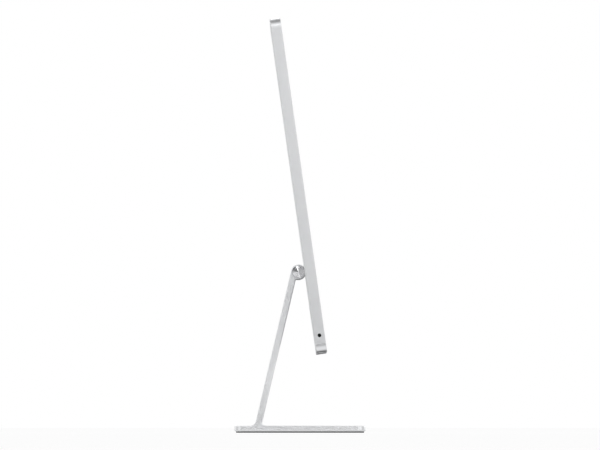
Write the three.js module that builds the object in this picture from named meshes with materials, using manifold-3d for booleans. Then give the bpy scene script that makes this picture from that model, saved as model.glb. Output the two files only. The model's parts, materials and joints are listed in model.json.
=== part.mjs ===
// All-in-one desktop computer: a thin tilting display housing on a one-piece aluminium stand.
//
// Millimetres, +Z up. The front faces -Y. The origin is on the table, under the middle of the foot.
// The stand group stays still. The display group is drawn about the hinge axis: its own origin lies on
// that axis, its own Z runs up the display and its own -Y points out of the screen, and the whole group
// is leant back by REST_TILT.

import * as THREE from "three";
import { mergeVertices } from "three/addons/utils/BufferGeometryUtils.js";
import Module from "manifold-3d";

const wasm = await Module();
wasm.setup();

// ---------------------------------------------------------------------------------------------
// Driving dimensions
// ---------------------------------------------------------------------------------------------

const GAP = 0.3; // clearance between neighbouring pieces
const SMALL_GAP = 0.1; // clearance where a piece is stuck or pressed to its neighbour

// Stand
const STAND_WIDTH = 130;
const FOOT_DEPTH = 147;
const FOOT_CORNER = 10; // plan radius of the foot's corners
const FOOT_THICKNESS = 6.4;
const FOOT_TOP_ROUND = 1;
const FOOT_BOTTOM_ROUND = 1.8;
const STAND_EDGE_ROUND = 0.8; // rounding along the stand's left and right edges
const PAD_THICKNESS = 1.3;
const PAD_INSET = 2;
const UPRIGHT_THICKNESS = 7.2;
const UPRIGHT_LEAN = THREE.MathUtils.degToRad(13.2); // leans forward going up
const REAR_FILLET = 6.5;
const FRONT_FILLET = 4.2;
const NOTCH_FILLET = 1; // where the upright's front face meets the barrel
const CABLE_HOLE_RADIUS = 14;
const CABLE_HOLE_HEIGHT = 62; // centre of the hole above the table

// Hinge
const HINGE_HEIGHT = 180.2; // axis above the table
const HINGE_REARWARD = 1.9; // axis behind the middle of the foot
const REST_TILT = THREE.MathUtils.degToRad(8); // lean back of the display at rest
const TILT_FORWARD = THREE.MathUtils.degToRad(13); // travel from rest
const TILT_BACK = THREE.MathUtils.degToRad(12);
const BARREL_RADIUS = 8.3;
const BARREL_WALL = 1.9;
const BARREL_SINK = 1.3; // how far the barrel reaches into the display's back
const CAP_LIP = 0.5; // cap's overhang beyond the barrel's bore
const CAP_THICKNESS = 2.2;
const CAP_EDGE = 0.25;
const CAP_SPIGOT = 3;
const SHAFT_RADIUS = 3;
const SHAFT_RUNNING_GAP = 0.1; // leaves 0.085 mm at the flats of the faceted bore
const SHAFT_END_GAP = 0.8;
const BUSH_LENGTH = 15;
const SPRING_WIRE = 1.5;
const SPRING_PITCH = 2.4;
const SPRING_END_GAP = 1;
const SPRING_SHAFT_GAP = 0.6;
const ARM_WIDTH = 48;
const ARM_NECK = 4; // thickness of the arm where it leaves the barrel
const ARM_HUB_GAP = 0.7;
const FLANGE_WIDTH = 96;
const FLANGE_HEIGHT = 44;
const FLANGE_THICKNESS = 1.6;
const FLANGE_CORNER = 4;
const FLANGE_SCREW_SIDE = 11.5; // outer screws, from the flange's left and right ends
const FLANGE_SCREW_EDGE = 6; // screws, from the flange's upper and lower edges
const SCREW_SHANK = 0.95;
const SCREW_HEAD = 2.2;
const SCREW_CONE = 1.1;
const SCREW_HOLE = 1.3;

// Display housing
const DISPLAY_WIDTH = 547;
const DISPLAY_DEPTH = 12.2;
const TOP_ABOVE_HINGE = 280.9;
const BOTTOM_BELOW_HINGE = 93.7;
const DISPLAY_CORNER = 10;
const HOUSING_EDGE_ROUND = 0.8;
const BACK_WALL = 1.6;
const SIDE_WALL = 3.2;
const RIM = 1.2; // thin wall that surrounds the cover glass
const TROUGH_CLEARANCE = 0.6; // round the barrel
const TROUGH_WALL = 1.4;
const TROUGH_END_GAP = 1;
const BOSS_RADIUS = 3.2;

// Screen
const GLASS_THICKNESS = 1.1;
const ADHESIVE_THICKNESS = 0.3;
const CELL_THICKNESS = 1.4;
const BACKLIGHT_THICKNESS = 2.4;
const TRAY_THICKNESS = 0.6;
const SCREEN_SIDE_BORDER = 13.15;
const SCREEN_TOP_BORDER = 13.2;
const SCREEN_BOTTOM = -25.2; // lower edge of the picture, from the hinge axis
const PANEL_SIDE_MARGIN = 2.5;
const PANEL_TOP_MARGIN = 1.5;
const PANEL_BOTTOM_MARGIN = 6; // driver strip along the lower edge
const CAMERA = { width: 26, height: 6.8, thickness: 4.6, lensRadius: 2.4, lensLength: 2 };
const WEIGHT = { inner: 8, outer: 134, top: -35, bottom: -88, thickness: 1, corner: 3 };

// Sockets and button
const PORT_ROW = -46; // height of the rear sockets and button, from the hinge axis
const SOCKET_SET_BACK = 0.3; // sockets stop this far inside the back face
const POWER_INLET = { radius: 8, wall: 1, recess: 5.5 };
const USB_COUNT = 4;
const USB_PITCH = 15;
const USB_FROM_SIDE = 68.5; // middle of the row, from the display's side
const USB = { width: 8.94, height: 3.16, shell: 0.3, length: 7.8, tongue: 0.7 };
const PORT_BOARD = { thickness: 1, top: -34, bottom: -60, margin: 5 };
const BUTTON = { radius: 7, proud: 0.2, lip: 1.6, flange: 0.8, stem: 1.6, stemLength: 1, fromSide: 28.5 };
const BUTTON_TRAVEL = 0.5;
const SWITCH = { boardWidth: 22, boardHeight: 18, board: 1, size: 5, height: 1.2 };
const JACK = { hole: 2.05, bore: 1.8, length: 12.5, depth: 6, height: 9, aboveBottom: 19.2 };
const VENTS_PER_GROUP = 13;
const INTAKES_PER_GROUP = 7;
const INTAKE_START = 78;
const VENT_LENGTH = 6;
const VENT_WIDTH = 2.2;
const VENT_PITCH = 8;

// Electronics
const PROCESSOR = { width: 24, thickness: 2, die: 0.7 };
const BOARD = { top: -36, thickness: 1, fromFans: 5, fromWall: 1.5 };
const PIPE = { width: 8, thickness: 2.5, behind: 1.2 }; // behind: gap to the back wall
const FAN = { x: 117, size: 48, thickness: 6, sheet: 0.8, rotor: 20, clearance: 1.2, post: 2 };
const BLADE_COUNT = 17;
const FIN = { count: 12, width: 14, thickness: 4.4, sheet: 0.5, base: 0.7, behind: 0.8, fromFan: 3 };
const FLOOR_GAP = 0.5; // under the fans and speakers
const SPEAKER = { height: 29, thickness: 7, floor: 1.2, wall: 3.5, fromSide: 18.5, fromFan: 5 };
const CONE = { thickness: 1.6, gap: 2 }; // gap: to the walls of its pocket
const CLOCK_CELL = { radius: 6.25, thickness: 2, x: 44, z: -79.5 };
const DISPLAY_CABLE = { width: 28, thickness: 0.25, x: -40, bottom: -44 };
const ANTENNA = { length: 58, depth: 2, height: 5, x: 150 };
const MICROPHONE = { width: 22, depth: 1, height: 4.4, x: 60 };

// ---------------------------------------------------------------------------------------------
// Values worked out from the dimensions above
// ---------------------------------------------------------------------------------------------

const FOOT_TOP = PAD_THICKNESS + FOOT_THICKNESS;
const BARREL_BORE = BARREL_RADIUS - BARREL_WALL;
const CAP_RADIUS = BARREL_BORE + CAP_LIP;
const AXIS_TO_BACK = BARREL_RADIUS - BARREL_SINK; // hinge axis to the housing's back face
const ARM_HUB_RADIUS = BARREL_BORE - ARM_HUB_GAP;
const SHAFT_HALF = STAND_WIDTH / 2 - SMALL_GAP - CAP_THICKNESS - CAP_SPIGOT - SHAFT_END_GAP;
const BUSH_START = SHAFT_HALF - SPRING_END_GAP - BUSH_LENGTH;
const SPRING_START = ARM_WIDTH / 2 + SPRING_END_GAP;
const SPRING_TURNS = Math.floor((BUSH_START - SPRING_START - SPRING_END_GAP - SPRING_WIRE) / SPRING_PITCH);
const TROUGH_RADIUS = BARREL_RADIUS + TROUGH_CLEARANCE;
const TROUGH_LENGTH = STAND_WIDTH + 2 * TROUGH_END_GAP;
const FLANGE_DEPTH = BARREL_SINK + TROUGH_CLEARANCE + TROUGH_WALL + 2 * GAP;
const SCREW_PLACES = [-1, 0, 1].flatMap((x) =>
  [-1, 1].map((z) => [x * (FLANGE_WIDTH / 2 - FLANGE_SCREW_SIDE), z * (FLANGE_HEIGHT / 2 - FLANGE_SCREW_EDGE)]),
);

const DISPLAY_HEIGHT = TOP_ABOVE_HINGE + BOTTOM_BELOW_HINGE;
const DISPLAY_MIDDLE = (TOP_ABOVE_HINGE - BOTTOM_BELOW_HINGE) / 2;
const SCREEN_WIDTH = DISPLAY_WIDTH - 2 * SCREEN_SIDE_BORDER;
const SCREEN_HEIGHT = TOP_ABOVE_HINGE - SCREEN_TOP_BORDER - SCREEN_BOTTOM;
const CAMERA_HEIGHT = TOP_ABOVE_HINGE - SIDE_WALL - 0.4 - CAMERA.height / 2;

// Depths run forward from the housing's back face to a piece's rear face.
const GLASS_DEPTH = DISPLAY_DEPTH - SMALL_GAP - GLASS_THICKNESS;
const LEDGE_DEPTH = GLASS_DEPTH - 2 * SMALL_GAP - ADHESIVE_THICKNESS;
const CELL_DEPTH = GLASS_DEPTH - 2 * SMALL_GAP - CELL_THICKNESS;
const BACKLIGHT_DEPTH = CELL_DEPTH - 2 * SMALL_GAP - BACKLIGHT_THICKNESS;
const TRAY_DEPTH = BACKLIGHT_DEPTH - 2 * SMALL_GAP - TRAY_THICKNESS;
const WEIGHT_DEPTH = GLASS_DEPTH - GAP - WEIGHT.thickness;
const CAMERA_DEPTH = GLASS_DEPTH - 4 * SMALL_GAP - CAMERA.thickness;
const PIPE_DEPTH = BACK_WALL + PIPE.behind;
const PIPE_FRONT = PIPE_DEPTH + PIPE.thickness;
const FIN_DEPTH = BACK_WALL + FIN.behind;
const FAN_DEPTH = BACK_WALL + 2 * GAP;
const BOARD_DEPTH = PIPE_FRONT + PROCESSOR.thickness;
const CABLE_DEPTH = WEIGHT_DEPTH - SMALL_GAP - DISPLAY_CABLE.thickness;
const PORT_BOARD_DEPTH = SOCKET_SET_BACK + USB.length + GAP;
const SWITCH_DEPTH = BACK_WALL + GAP + BUTTON.flange + BUTTON.stemLength + BUTTON_TRAVEL + SMALL_GAP;

const PIPE_HEIGHT = PORT_ROW - POWER_INLET.radius - 1 - PROCESSOR.width / 2;
const CHIN_FLOOR = SIDE_WALL - BOTTOM_BELOW_HINGE;
const BOARD_WIDTH = 2 * (FAN.x - FAN.size / 2 - BOARD.fromFans);
const BOARD_HEIGHT = BOARD.top - BOARD.fromWall - CHIN_FLOOR;
const BOARD_MIDDLE = BOARD.top - BOARD_HEIGHT / 2;
const FAN_HEIGHT = CHIN_FLOOR + FLOOR_GAP + FAN.size / 2;
const FIN_X = FAN.x - FAN.size / 2 - FIN.fromFan - FIN.width / 2;
const SPEAKER_INNER = FAN.x + FAN.size / 2 + SPEAKER.fromFan;
const SPEAKER_LENGTH = DISPLAY_WIDTH / 2 - SPEAKER.fromSide - SPEAKER_INNER;
const SPEAKER_X = SPEAKER_INNER + SPEAKER_LENGTH / 2;
const SPEAKER_HEIGHT = CHIN_FLOOR + FLOOR_GAP + SPEAKER.height / 2;
const POCKET_LENGTH = (SPEAKER_LENGTH - 3 * SPEAKER.wall) / 2;
const POCKET_HEIGHT = SPEAKER.height - 2 * SPEAKER.wall;
const DRIVER_X = (POCKET_LENGTH + SPEAKER.wall) / 2; // from the middle of the speaker box
const BUTTON_X = DISPLAY_WIDTH / 2 - BUTTON.fromSide;
const USB_MIDDLE = USB_FROM_SIDE - DISPLAY_WIDTH / 2;
const USB_PLACES = Array.from(
  { length: USB_COUNT },
  (_, i) => USB_MIDDLE + (i - (USB_COUNT - 1) / 2) * USB_PITCH,
);
const JACK_HEIGHT = JACK.aboveBottom - BOTTOM_BELOW_HINGE;

/** Y in the display group of a point this far forward of the housing's back face. */
const forward = (depth) => -AXIS_TO_BACK - depth;

// ---------------------------------------------------------------------------------------------
// Materials
// ---------------------------------------------------------------------------------------------

const finish = (color, roughness, metalness) =>
  new THREE.MeshStandardMaterial({ color, roughness, metalness });
const ALUMINIUM = finish(0xd2d3d5, 0.38, 1);
const POLISHED_STEEL = finish(0xcfd0d0, 0.12, 1);
const STEEL = finish(0x9b9c9e, 0.4, 1);
const SPRING_STEEL = finish(0x77787a, 0.35, 1);
const BRONZE = finish(0xa87c4a, 0.4, 1);
const COPPER = finish(0xb8703f, 0.3, 1);
const RUBBER = finish(0x5c5d5e, 0.8, 0);
const COVER_GLASS = finish(0x0b0c0e, 0.05, 0);
const LCD_GLASS = finish(0x1a1c20, 0.1, 0);
const WHITE_PLASTIC = finish(0xe6e6e2, 0.5, 0);
const BLACK_PLASTIC = finish(0x17181a, 0.45, 0);
const FOAM = finish(0x26272a, 0.95, 0);
const BOARD_GREEN = finish(0x14281f, 0.5, 0);
const SILICON = finish(0x2b2c30, 0.3, 0);
const FLEX = finish(0x8a5a22, 0.5, 0);
const NICKEL = finish(0xb4b5b3, 0.25, 1);

// ---------------------------------------------------------------------------------------------
// Solids: joins and cuts
// ---------------------------------------------------------------------------------------------

/** A closed geometry as a solid, once vertices that differ only in normal or uv are merged. */
function solidOf(geometry) {
  const bare = geometry.clone();
  bare.deleteAttribute("normal");
  bare.deleteAttribute("uv");
  const merged = mergeVertices(bare, 1e-4);
  return new wasm.Manifold(
    new wasm.Mesh({
      numProp: 3,
      vertProperties: merged.attributes.position.array,
      triVerts: new Uint32Array(merged.index.array),
    }),
  );
}

function geometryOf(solid) {
  const mesh = solid.getMesh();
  const geometry = new THREE.BufferGeometry();
  geometry.setAttribute("position", new THREE.BufferAttribute(mesh.vertProperties, 3));
  geometry.setIndex(new THREE.BufferAttribute(mesh.triVerts, 1));
  geometry.computeVertexNormals();
  return geometry;
}

const join = (first, ...others) =>
  geometryOf(others.reduce((whole, other) => whole.add(solidOf(other)), solidOf(first)));
const cut = (body, ...tools) =>
  geometryOf(tools.reduce((rest, tool) => rest.subtract(solidOf(tool)), solidOf(body)));
const common = (a, b) => geometryOf(solidOf(a).intersect(solidOf(b)));

// ---------------------------------------------------------------------------------------------
// Shapes
// ---------------------------------------------------------------------------------------------

/** Points along an arc about (x, y), from one angle to another, both ends included. */
function arc(x, y, radius, from, to, steps) {
  return Array.from({ length: steps + 1 }, (_, i) => {
    const angle = from + ((to - from) * i) / steps;
    return new THREE.Vector2(x + radius * Math.cos(angle), y + radius * Math.sin(angle));
  });
}

/** A rectangle about the origin with rounded corners, anticlockwise. */
function roundedRectangle(width, height, radius, steps = 6) {
  const x = width / 2 - radius;
  const y = height / 2 - radius;
  const quarter = Math.PI / 2;
  return new THREE.Shape([
    ...arc(x, y, radius, 0, quarter, steps),
    ...arc(-x, y, radius, quarter, 2 * quarter, steps),
    ...arc(-x, -y, radius, 2 * quarter, 3 * quarter, steps),
    ...arc(x, -y, radius, 3 * quarter, 4 * quarter, steps),
  ]);
}

/** A slot with half-round ends, its long side along x. */
function slot(width, height, steps = 6) {
  const x = (width - height) / 2;
  return new THREE.Shape([
    ...arc(x, 0, height / 2, -Math.PI / 2, Math.PI / 2, steps),
    ...arc(-x, 0, height / 2, Math.PI / 2, (3 * Math.PI) / 2, steps),
  ]);
}

const circle = (radius, sides) => new THREE.Shape(arc(0, 0, radius, 0, 2 * Math.PI, sides).slice(0, -1));

/** A shape drawn in X and Z, thickened forward from y = 0 to y = -thickness. */
function plate(shape, thickness, edgeRound = 0) {
  const geometry = new THREE.ExtrudeGeometry(shape, {
    depth: thickness - 2 * edgeRound,
    bevelEnabled: edgeRound > 0,
    bevelThickness: edgeRound,
    bevelSize: edgeRound,
    bevelOffset: -edgeRound,
    bevelSegments: 2,
  });
  return geometry.translate(0, 0, edgeRound).rotateX(Math.PI / 2);
}

/** A shape drawn in X and Y, thickened upward from z = 0. */
const slab = (shape, thickness) =>
  new THREE.ExtrudeGeometry(shape, { depth: thickness, bevelEnabled: false });

/** A box about (x, y, z). */
const box = (width, depth, height, x = 0, y = 0, z = 0) =>
  new THREE.BoxGeometry(width, depth, height).translate(x, y, z);

/** A cylinder that starts at y = 0 and runs forward, along -Y. */
const forwardCylinder = (radius, length, sides = 32) =>
  new THREE.CylinderGeometry(radius, radius, length, sides).translate(0, -length / 2, 0);

/** A cylinder along X, about the origin. */
const crossCylinder = (radius, length, sides = 32) =>
  new THREE.CylinderGeometry(radius, radius, length, sides).rotateZ(Math.PI / 2);

/** A profile of [radius, distance] pairs turned about the Y axis; distance runs forward, along -Y. */
function turned(profile, sides = 32) {
  const points = profile.map(([radius, distance]) => new THREE.Vector2(radius, -distance));
  return new THREE.LatheGeometry(points.reverse(), sides);
}

/** The same, turned about the X axis; distance runs to the right, along +X. */
const turnedAcross = (profile, sides = 32) => turned(profile, sides).rotateZ(Math.PI / 2);

/** Adds a named piece to a group, moved to (x, y, z). */
function addPiece(group, name, geometry, material, x = 0, y = 0, z = 0) {
  const mesh = new THREE.Mesh(geometry, material.clone()); // each piece has a material of its own
  mesh.name = name;
  mesh.position.set(x, y, z);
  group.add(mesh);
  return mesh;
}

/** Calls make("left", -1) and make("right", 1). */
const eachSide = (make) => [["left", -1], ["right", 1]].forEach(([side, sign]) => make(side, sign));

// ---------------------------------------------------------------------------------------------
// Stand: foot, upright and barrel in one piece, its pad, and the hinge hardware that it holds
// ---------------------------------------------------------------------------------------------

/** The stand seen from its right, as an outline with x to the rear and y up. */
function standOutline() {
  const lean = UPRIGHT_LEAN;
  const out = new THREE.Vector2(Math.cos(lean), Math.sin(lean)); // out of the upright's rear face
  const up = new THREE.Vector2(-Math.sin(lean), Math.cos(lean));
  const axis = new THREE.Vector2(HINGE_REARWARD, HINGE_HEIGHT);
  const half = FOOT_DEPTH / 2;
  const front = BARREL_RADIUS - UPRIGHT_THICKNESS; // upright's front face, measured from the axis

  /** A point at that height, and that far from the axis along `out`. */
  const onFace = (distance, height) =>
    new THREE.Vector2(axis.x + (distance + (axis.y - height) * out.y) / out.x, height);
  const rearCentre = onFace(BARREL_RADIUS + REAR_FILLET, FOOT_TOP + REAR_FILLET);
  const frontCentre = onFace(front - FRONT_FILLET, FOOT_TOP + FRONT_FILLET);
  const notchAcross = front - NOTCH_FILLET;
  const notchDown = Math.sqrt((BARREL_RADIUS + NOTCH_FILLET) ** 2 - notchAcross ** 2);
  const notch = axis.clone().addScaledVector(out, notchAcross).addScaledVector(up, -notchDown);
  const toNotch = notch.clone().sub(axis).angle();

  const bottomRound = FOOT_BOTTOM_ROUND;
  const topRound = FOOT_TOP_ROUND;
  const bottom = PAD_THICKNESS + bottomRound;
  const top = FOOT_TOP - topRound;
  return new THREE.Shape([
    ...arc(-half + bottomRound, bottom, bottomRound, Math.PI, 1.5 * Math.PI, 3),
    ...arc(half - bottomRound, bottom, bottomRound, 1.5 * Math.PI, 2 * Math.PI, 3),
    ...arc(half - topRound, top, topRound, 0, Math.PI / 2, 2),
    ...arc(rearCentre.x, rearCentre.y, REAR_FILLET, -Math.PI / 2, lean - Math.PI, 6),
    ...arc(axis.x, axis.y, BARREL_RADIUS, lean, toNotch, 28).slice(0, -1),
    ...arc(notch.x, notch.y, NOTCH_FILLET, toNotch - Math.PI, lean, 3),
    ...arc(frontCentre.x, frontCentre.y, FRONT_FILLET, lean, -Math.PI / 2, 6),
    ...arc(-half + topRound, top, topRound, Math.PI / 2, Math.PI, 2),
  ]);
}

/** Swept space of the arm's neck, as a wedge about the hinge axis that opens forward. */
function neckSlot() {
  const inner = BARREL_BORE - 1.5;
  const half = Math.asin((ARM_NECK / 2 + GAP) / inner);
  const reach = 2 * BARREL_RADIUS;
  const forwardAngle = Math.PI - REST_TILT; // towards the display, in the stand's outline
  const wedge = new THREE.Shape([
    new THREE.Vector2(0, 0),
    ...arc(0, 0, reach, forwardAngle - half - TILT_BACK, forwardAngle + half + TILT_FORWARD, 6),
  ]);
  return slab(wedge, ARM_WIDTH + 2).translate(0, 0, -ARM_WIDTH / 2 - 1);
}

/** Turns a shape drawn as (rearward, up) and thickened along its own z into (X, Y, Z) of the stand. */
const asSideView = (geometry) =>
  geometry.applyMatrix4(
    new THREE.Matrix4().makeBasis(
      new THREE.Vector3(0, 1, 0),
      new THREE.Vector3(0, 0, 1),
      new THREE.Vector3(1, 0, 0),
    ),
  );

function standBody() {
  const round = STAND_EDGE_ROUND;
  const profile = new THREE.ExtrudeGeometry(standOutline(), {
    depth: STAND_WIDTH - 2 * round,
    bevelThickness: round,
    bevelSize: round,
    bevelOffset: -round,
    bevelSegments: 2,
  });
  const blank = asSideView(profile.translate(0, 0, round - STAND_WIDTH / 2));
  const plan = roundedRectangle(STAND_WIDTH, FOOT_DEPTH, FOOT_CORNER, 8);
  const trimmed = common(blank, slab(plan, HINGE_HEIGHT + 2 * BARREL_RADIUS));

  const onAxis = (geometry, x = 0) => geometry.translate(x, HINGE_REARWARD, HINGE_HEIGHT);
  const bore = onAxis(crossCylinder(BARREL_BORE, STAND_WIDTH + 2, 36));
  const counterbores = [-1, 1].map((sign) =>
    onAxis(crossCylinder(CAP_RADIUS + SMALL_GAP, 2 * (CAP_THICKNESS + GAP), 36), (sign * STAND_WIDTH) / 2),
  );
  const rise = HINGE_HEIGHT - CABLE_HOLE_HEIGHT;
  const middleOfUpright = BARREL_RADIUS - UPRIGHT_THICKNESS / 2;
  const holeY = HINGE_REARWARD + (middleOfUpright + rise * Math.sin(UPRIGHT_LEAN)) / Math.cos(UPRIGHT_LEAN);
  const cableHole = forwardCylinder(CABLE_HOLE_RADIUS, 4 * UPRIGHT_THICKNESS, 40)
    .translate(0, 2 * UPRIGHT_THICKNESS, 0)
    .rotateX(UPRIGHT_LEAN)
    .translate(0, holeY, CABLE_HOLE_HEIGHT);
  return cut(trimmed, bore, ...counterbores, onAxis(asSideView(neckSlot())), cableHole);
}

function footPad() {
  const width = STAND_WIDTH - 2 * PAD_INSET;
  const depth = FOOT_DEPTH - 2 * PAD_INSET;
  return slab(roundedRectangle(width, depth, FOOT_CORNER - PAD_INSET, 8), PAD_THICKNESS);
}

/** A disc that closes the barrel, with a spigot into the bore; its face looks along +X. */
function endCap() {
  const spigot = BARREL_BORE - GAP;
  return turnedAcross(
    [
      [0, -CAP_THICKNESS - CAP_SPIGOT],
      [spigot, -CAP_THICKNESS - CAP_SPIGOT],
      [spigot, -CAP_THICKNESS],
      [CAP_RADIUS, -CAP_THICKNESS],
      [CAP_RADIUS, -CAP_EDGE],
      [CAP_RADIUS - CAP_EDGE, 0],
      [0, 0],
    ],
    36,
  );
}

/** A plain bearing sleeve that starts at x = 0. */
function shaftBush() {
  const outer = BARREL_BORE - SMALL_GAP;
  const inner = SHAFT_RADIUS + SHAFT_RUNNING_GAP;
  return turnedAcross(
    [
      [inner, 0],
      [outer, 0],
      [outer, BUSH_LENGTH],
      [inner, BUSH_LENGTH],
      [inner, 0],
    ],
    36,
  );
}

/** A coil about the X axis that starts at x = 0 and winds along +X. */
function torsionSpring() {
  const radius = SHAFT_RADIUS + SPRING_SHAFT_GAP + SPRING_WIRE / 2;
  const stepsPerTurn = 10;
  const points = Array.from({ length: SPRING_TURNS * stepsPerTurn + 1 }, (_, i) => {
    const angle = (i / stepsPerTurn) * 2 * Math.PI;
    const along = SPRING_WIRE / 2 + (i / stepsPerTurn) * SPRING_PITCH;
    return new THREE.Vector3(along, radius * Math.cos(angle), radius * Math.sin(angle));
  });
  const section = new THREE.Shape(arc(0, 0, SPRING_WIRE / 2, 0, 2 * Math.PI, 5).slice(0, -1));
  return new THREE.ExtrudeGeometry(section, {
    steps: SPRING_TURNS * stepsPerTurn,
    extrudePath: new THREE.CatmullRomCurve3(points),
  });
}

function makeStand() {
  const stand = new THREE.Group();
  addPiece(stand, "stand", standBody(), ALUMINIUM);
  addPiece(stand, "foot_pad", footPad(), RUBBER);

  const hinge = new THREE.Group();
  hinge.position.set(0, HINGE_REARWARD, HINGE_HEIGHT);
  stand.add(hinge);
  eachSide((side, sign) => {
    const outward = new THREE.Group();
    outward.rotation.z = sign < 0 ? Math.PI : 0;
    hinge.add(outward);
    addPiece(outward, `hinge_cap_${side}`, endCap(), POLISHED_STEEL, STAND_WIDTH / 2 - SMALL_GAP);
    addPiece(outward, `shaft_bush_${side}`, shaftBush(), BRONZE, BUSH_START);
    addPiece(outward, `torsion_spring_${side}`, torsionSpring(), SPRING_STEEL, SPRING_START);
  });
  return stand;
}

// ---------------------------------------------------------------------------------------------
// Hinge pieces that tilt with the display
// ---------------------------------------------------------------------------------------------

/** Countersunk screw, head at y = 0 facing forward, shank to the rear. */
function flangeScrew() {
  const length = FLANGE_DEPTH + FLANGE_THICKNESS - BACK_WALL - 2 * GAP;
  return turned(
    [
      [0, -length],
      [SCREW_SHANK, -length],
      [SCREW_SHANK, -SCREW_CONE],
      [SCREW_HEAD, 0],
      [0, 0],
    ],
    12,
  );
}

/** Hub on the shaft, neck through the barrel's slot and the flange that carries the display. */
function hingeArm() {
  const flangeRear = forward(FLANGE_DEPTH);
  const hub = crossCylinder(ARM_HUB_RADIUS, ARM_WIDTH, 36);
  const neck = box(ARM_WIDTH, -flangeRear + 0.4, ARM_NECK, 0, flangeRear / 2 - 0.2, 0);
  const flange = plate(roundedRectangle(FLANGE_WIDTH, FLANGE_HEIGHT, FLANGE_CORNER, 4), FLANGE_THICKNESS);
  flange.translate(0, flangeRear, 0);
  const bore = crossCylinder(SHAFT_RADIUS + SMALL_GAP, ARM_WIDTH + 2, 36);
  const countersinks = SCREW_PLACES.map(([x, z]) =>
    turned(
      [
        [0, -3 * FLANGE_THICKNESS],
        [SCREW_HOLE, -3 * FLANGE_THICKNESS],
        [SCREW_HOLE, -SCREW_CONE],
        [SCREW_HEAD + GAP, 0],
        [SCREW_HEAD + GAP, 1],
        [0, 1],
      ],
      12,
    ).translate(x, flangeRear - FLANGE_THICKNESS, z),
  );
  return cut(join(hub, neck, flange), bore, ...countersinks);
}

function addHingePieces(display) {
  addPiece(display, "hinge_arm", hingeArm(), STEEL);
  addPiece(display, "hinge_shaft", crossCylinder(SHAFT_RADIUS, 2 * SHAFT_HALF, 36), STEEL);
  SCREW_PLACES.forEach(([x, z], i) => {
    const y = forward(FLANGE_DEPTH + FLANGE_THICKNESS);
    addPiece(display, `flange_screw_${i + 1}`, flangeScrew(), STEEL, x, y, z);
  });
}

// ---------------------------------------------------------------------------------------------
// Housing
// ---------------------------------------------------------------------------------------------

/** The display's outline, shrunk by `inset`, as a solid between two depths. */
function displayBlock(inset, fromDepth, toDepth, edgeRound = 0) {
  const width = DISPLAY_WIDTH - 2 * inset;
  const shape = roundedRectangle(width, DISPLAY_HEIGHT - 2 * inset, DISPLAY_CORNER - inset, 8);
  return plate(shape, toDepth - fromDepth, edgeRound).translate(0, forward(fromDepth), DISPLAY_MIDDLE);
}

/** Slots in a row through the bottom wall, from `start` outwards on one side of the middle. */
function ventRow(sign, start, count) {
  const opening = slot(VENT_LENGTH, VENT_WIDTH, 2);
  return Array.from({ length: count }, (_, i) =>
    slab(opening, 2 * SIDE_WALL).translate(
      sign * (start + VENT_LENGTH / 2 + i * VENT_PITCH),
      forward(DISPLAY_DEPTH / 2),
      -BOTTOM_BELOW_HINGE - SIDE_WALL / 2,
    ),
  );
}

/** A tub with a trough that clears the barrel, bosses for the hinge flange, and every opening. */
function rearHousing() {
  const outer = displayBlock(0, 0, DISPLAY_DEPTH, HOUSING_EDGE_ROUND);
  const cavity = displayBlock(SIDE_WALL, BACK_WALL, DISPLAY_DEPTH + 1);
  const rabbet = displayBlock(RIM, LEDGE_DEPTH, DISPLAY_DEPTH + 1);
  const tub = cut(outer, cavity, rabbet);

  const troughOuter = crossCylinder(TROUGH_RADIUS + TROUGH_WALL, TROUGH_LENGTH + 2 * TROUGH_WALL, 40);
  const wallZone = displayBlock(SIDE_WALL + 1, BACK_WALL / 2, DISPLAY_DEPTH);
  const bossHeight = FLANGE_DEPTH - GAP - BACK_WALL / 2;
  const bosses = SCREW_PLACES.map(([x, z]) =>
    forwardCylinder(BOSS_RADIUS, bossHeight, 16).translate(x, forward(BACK_WALL / 2), z),
  );
  const withBosses = join(tub, common(troughOuter, wallZone), ...bosses);

  const bossHoles = SCREW_PLACES.map(([x, z]) =>
    forwardCylinder(SCREW_HOLE, FLANGE_DEPTH, 12).translate(x, forward(BACK_WALL + SMALL_GAP), z),
  );
  const throughBack = (shape, x) => plate(shape, 4 * BACK_WALL).translate(x, forward(-BACK_WALL), PORT_ROW);
  const jackHole = crossCylinder(JACK.hole, 4 * SIDE_WALL, 20);
  const openings = [
    crossCylinder(TROUGH_RADIUS, TROUGH_LENGTH, 40),
    box(ARM_WIDTH + 2, 6 * TROUGH_WALL, ARM_NECK + 4 * GAP, 0, -TROUGH_RADIUS, 0),
    throughBack(circle(POWER_INLET.radius + GAP, 32), 0),
    throughBack(circle(BUTTON.radius + GAP, 32), BUTTON_X),
    ...USB_PLACES.map((x) => throughBack(slot(USB.width + GAP, USB.height + GAP), x)),
    jackHole.translate(-DISPLAY_WIDTH / 2, forward(DISPLAY_DEPTH / 2), JACK_HEIGHT),
    ...[-1, 1].flatMap((sign) => [
      ...ventRow(sign, SPEAKER_INNER, VENTS_PER_GROUP),
      ...ventRow(sign, INTAKE_START, INTAKES_PER_GROUP),
    ]),
  ];
  return cut(withBosses, ...bossHoles, ...openings);
}

// ---------------------------------------------------------------------------------------------
// Screen: cover glass, adhesive, LCD cell, backlight, tray, weights, camera and microphone
// ---------------------------------------------------------------------------------------------

/** A panel as wide as the LCD module, with its rear face at y = 0. */
function panelPlate(thickness) {
  const width = SCREEN_WIDTH + 2 * PANEL_SIDE_MARGIN;
  const height = SCREEN_HEIGHT + PANEL_TOP_MARGIN + PANEL_BOTTOM_MARGIN;
  return box(width, thickness, height, 0, -thickness / 2, SCREEN_BOTTOM - PANEL_BOTTOM_MARGIN + height / 2);
}

function adhesiveFrame() {
  const thickness = ADHESIVE_THICKNESS;
  const outer = displayBlock(RIM + GAP, 0, thickness);
  const inner = displayBlock(SIDE_WALL, -1, thickness + 1);
  return cut(outer, inner).translate(0, AXIS_TO_BACK, 0);
}

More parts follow.
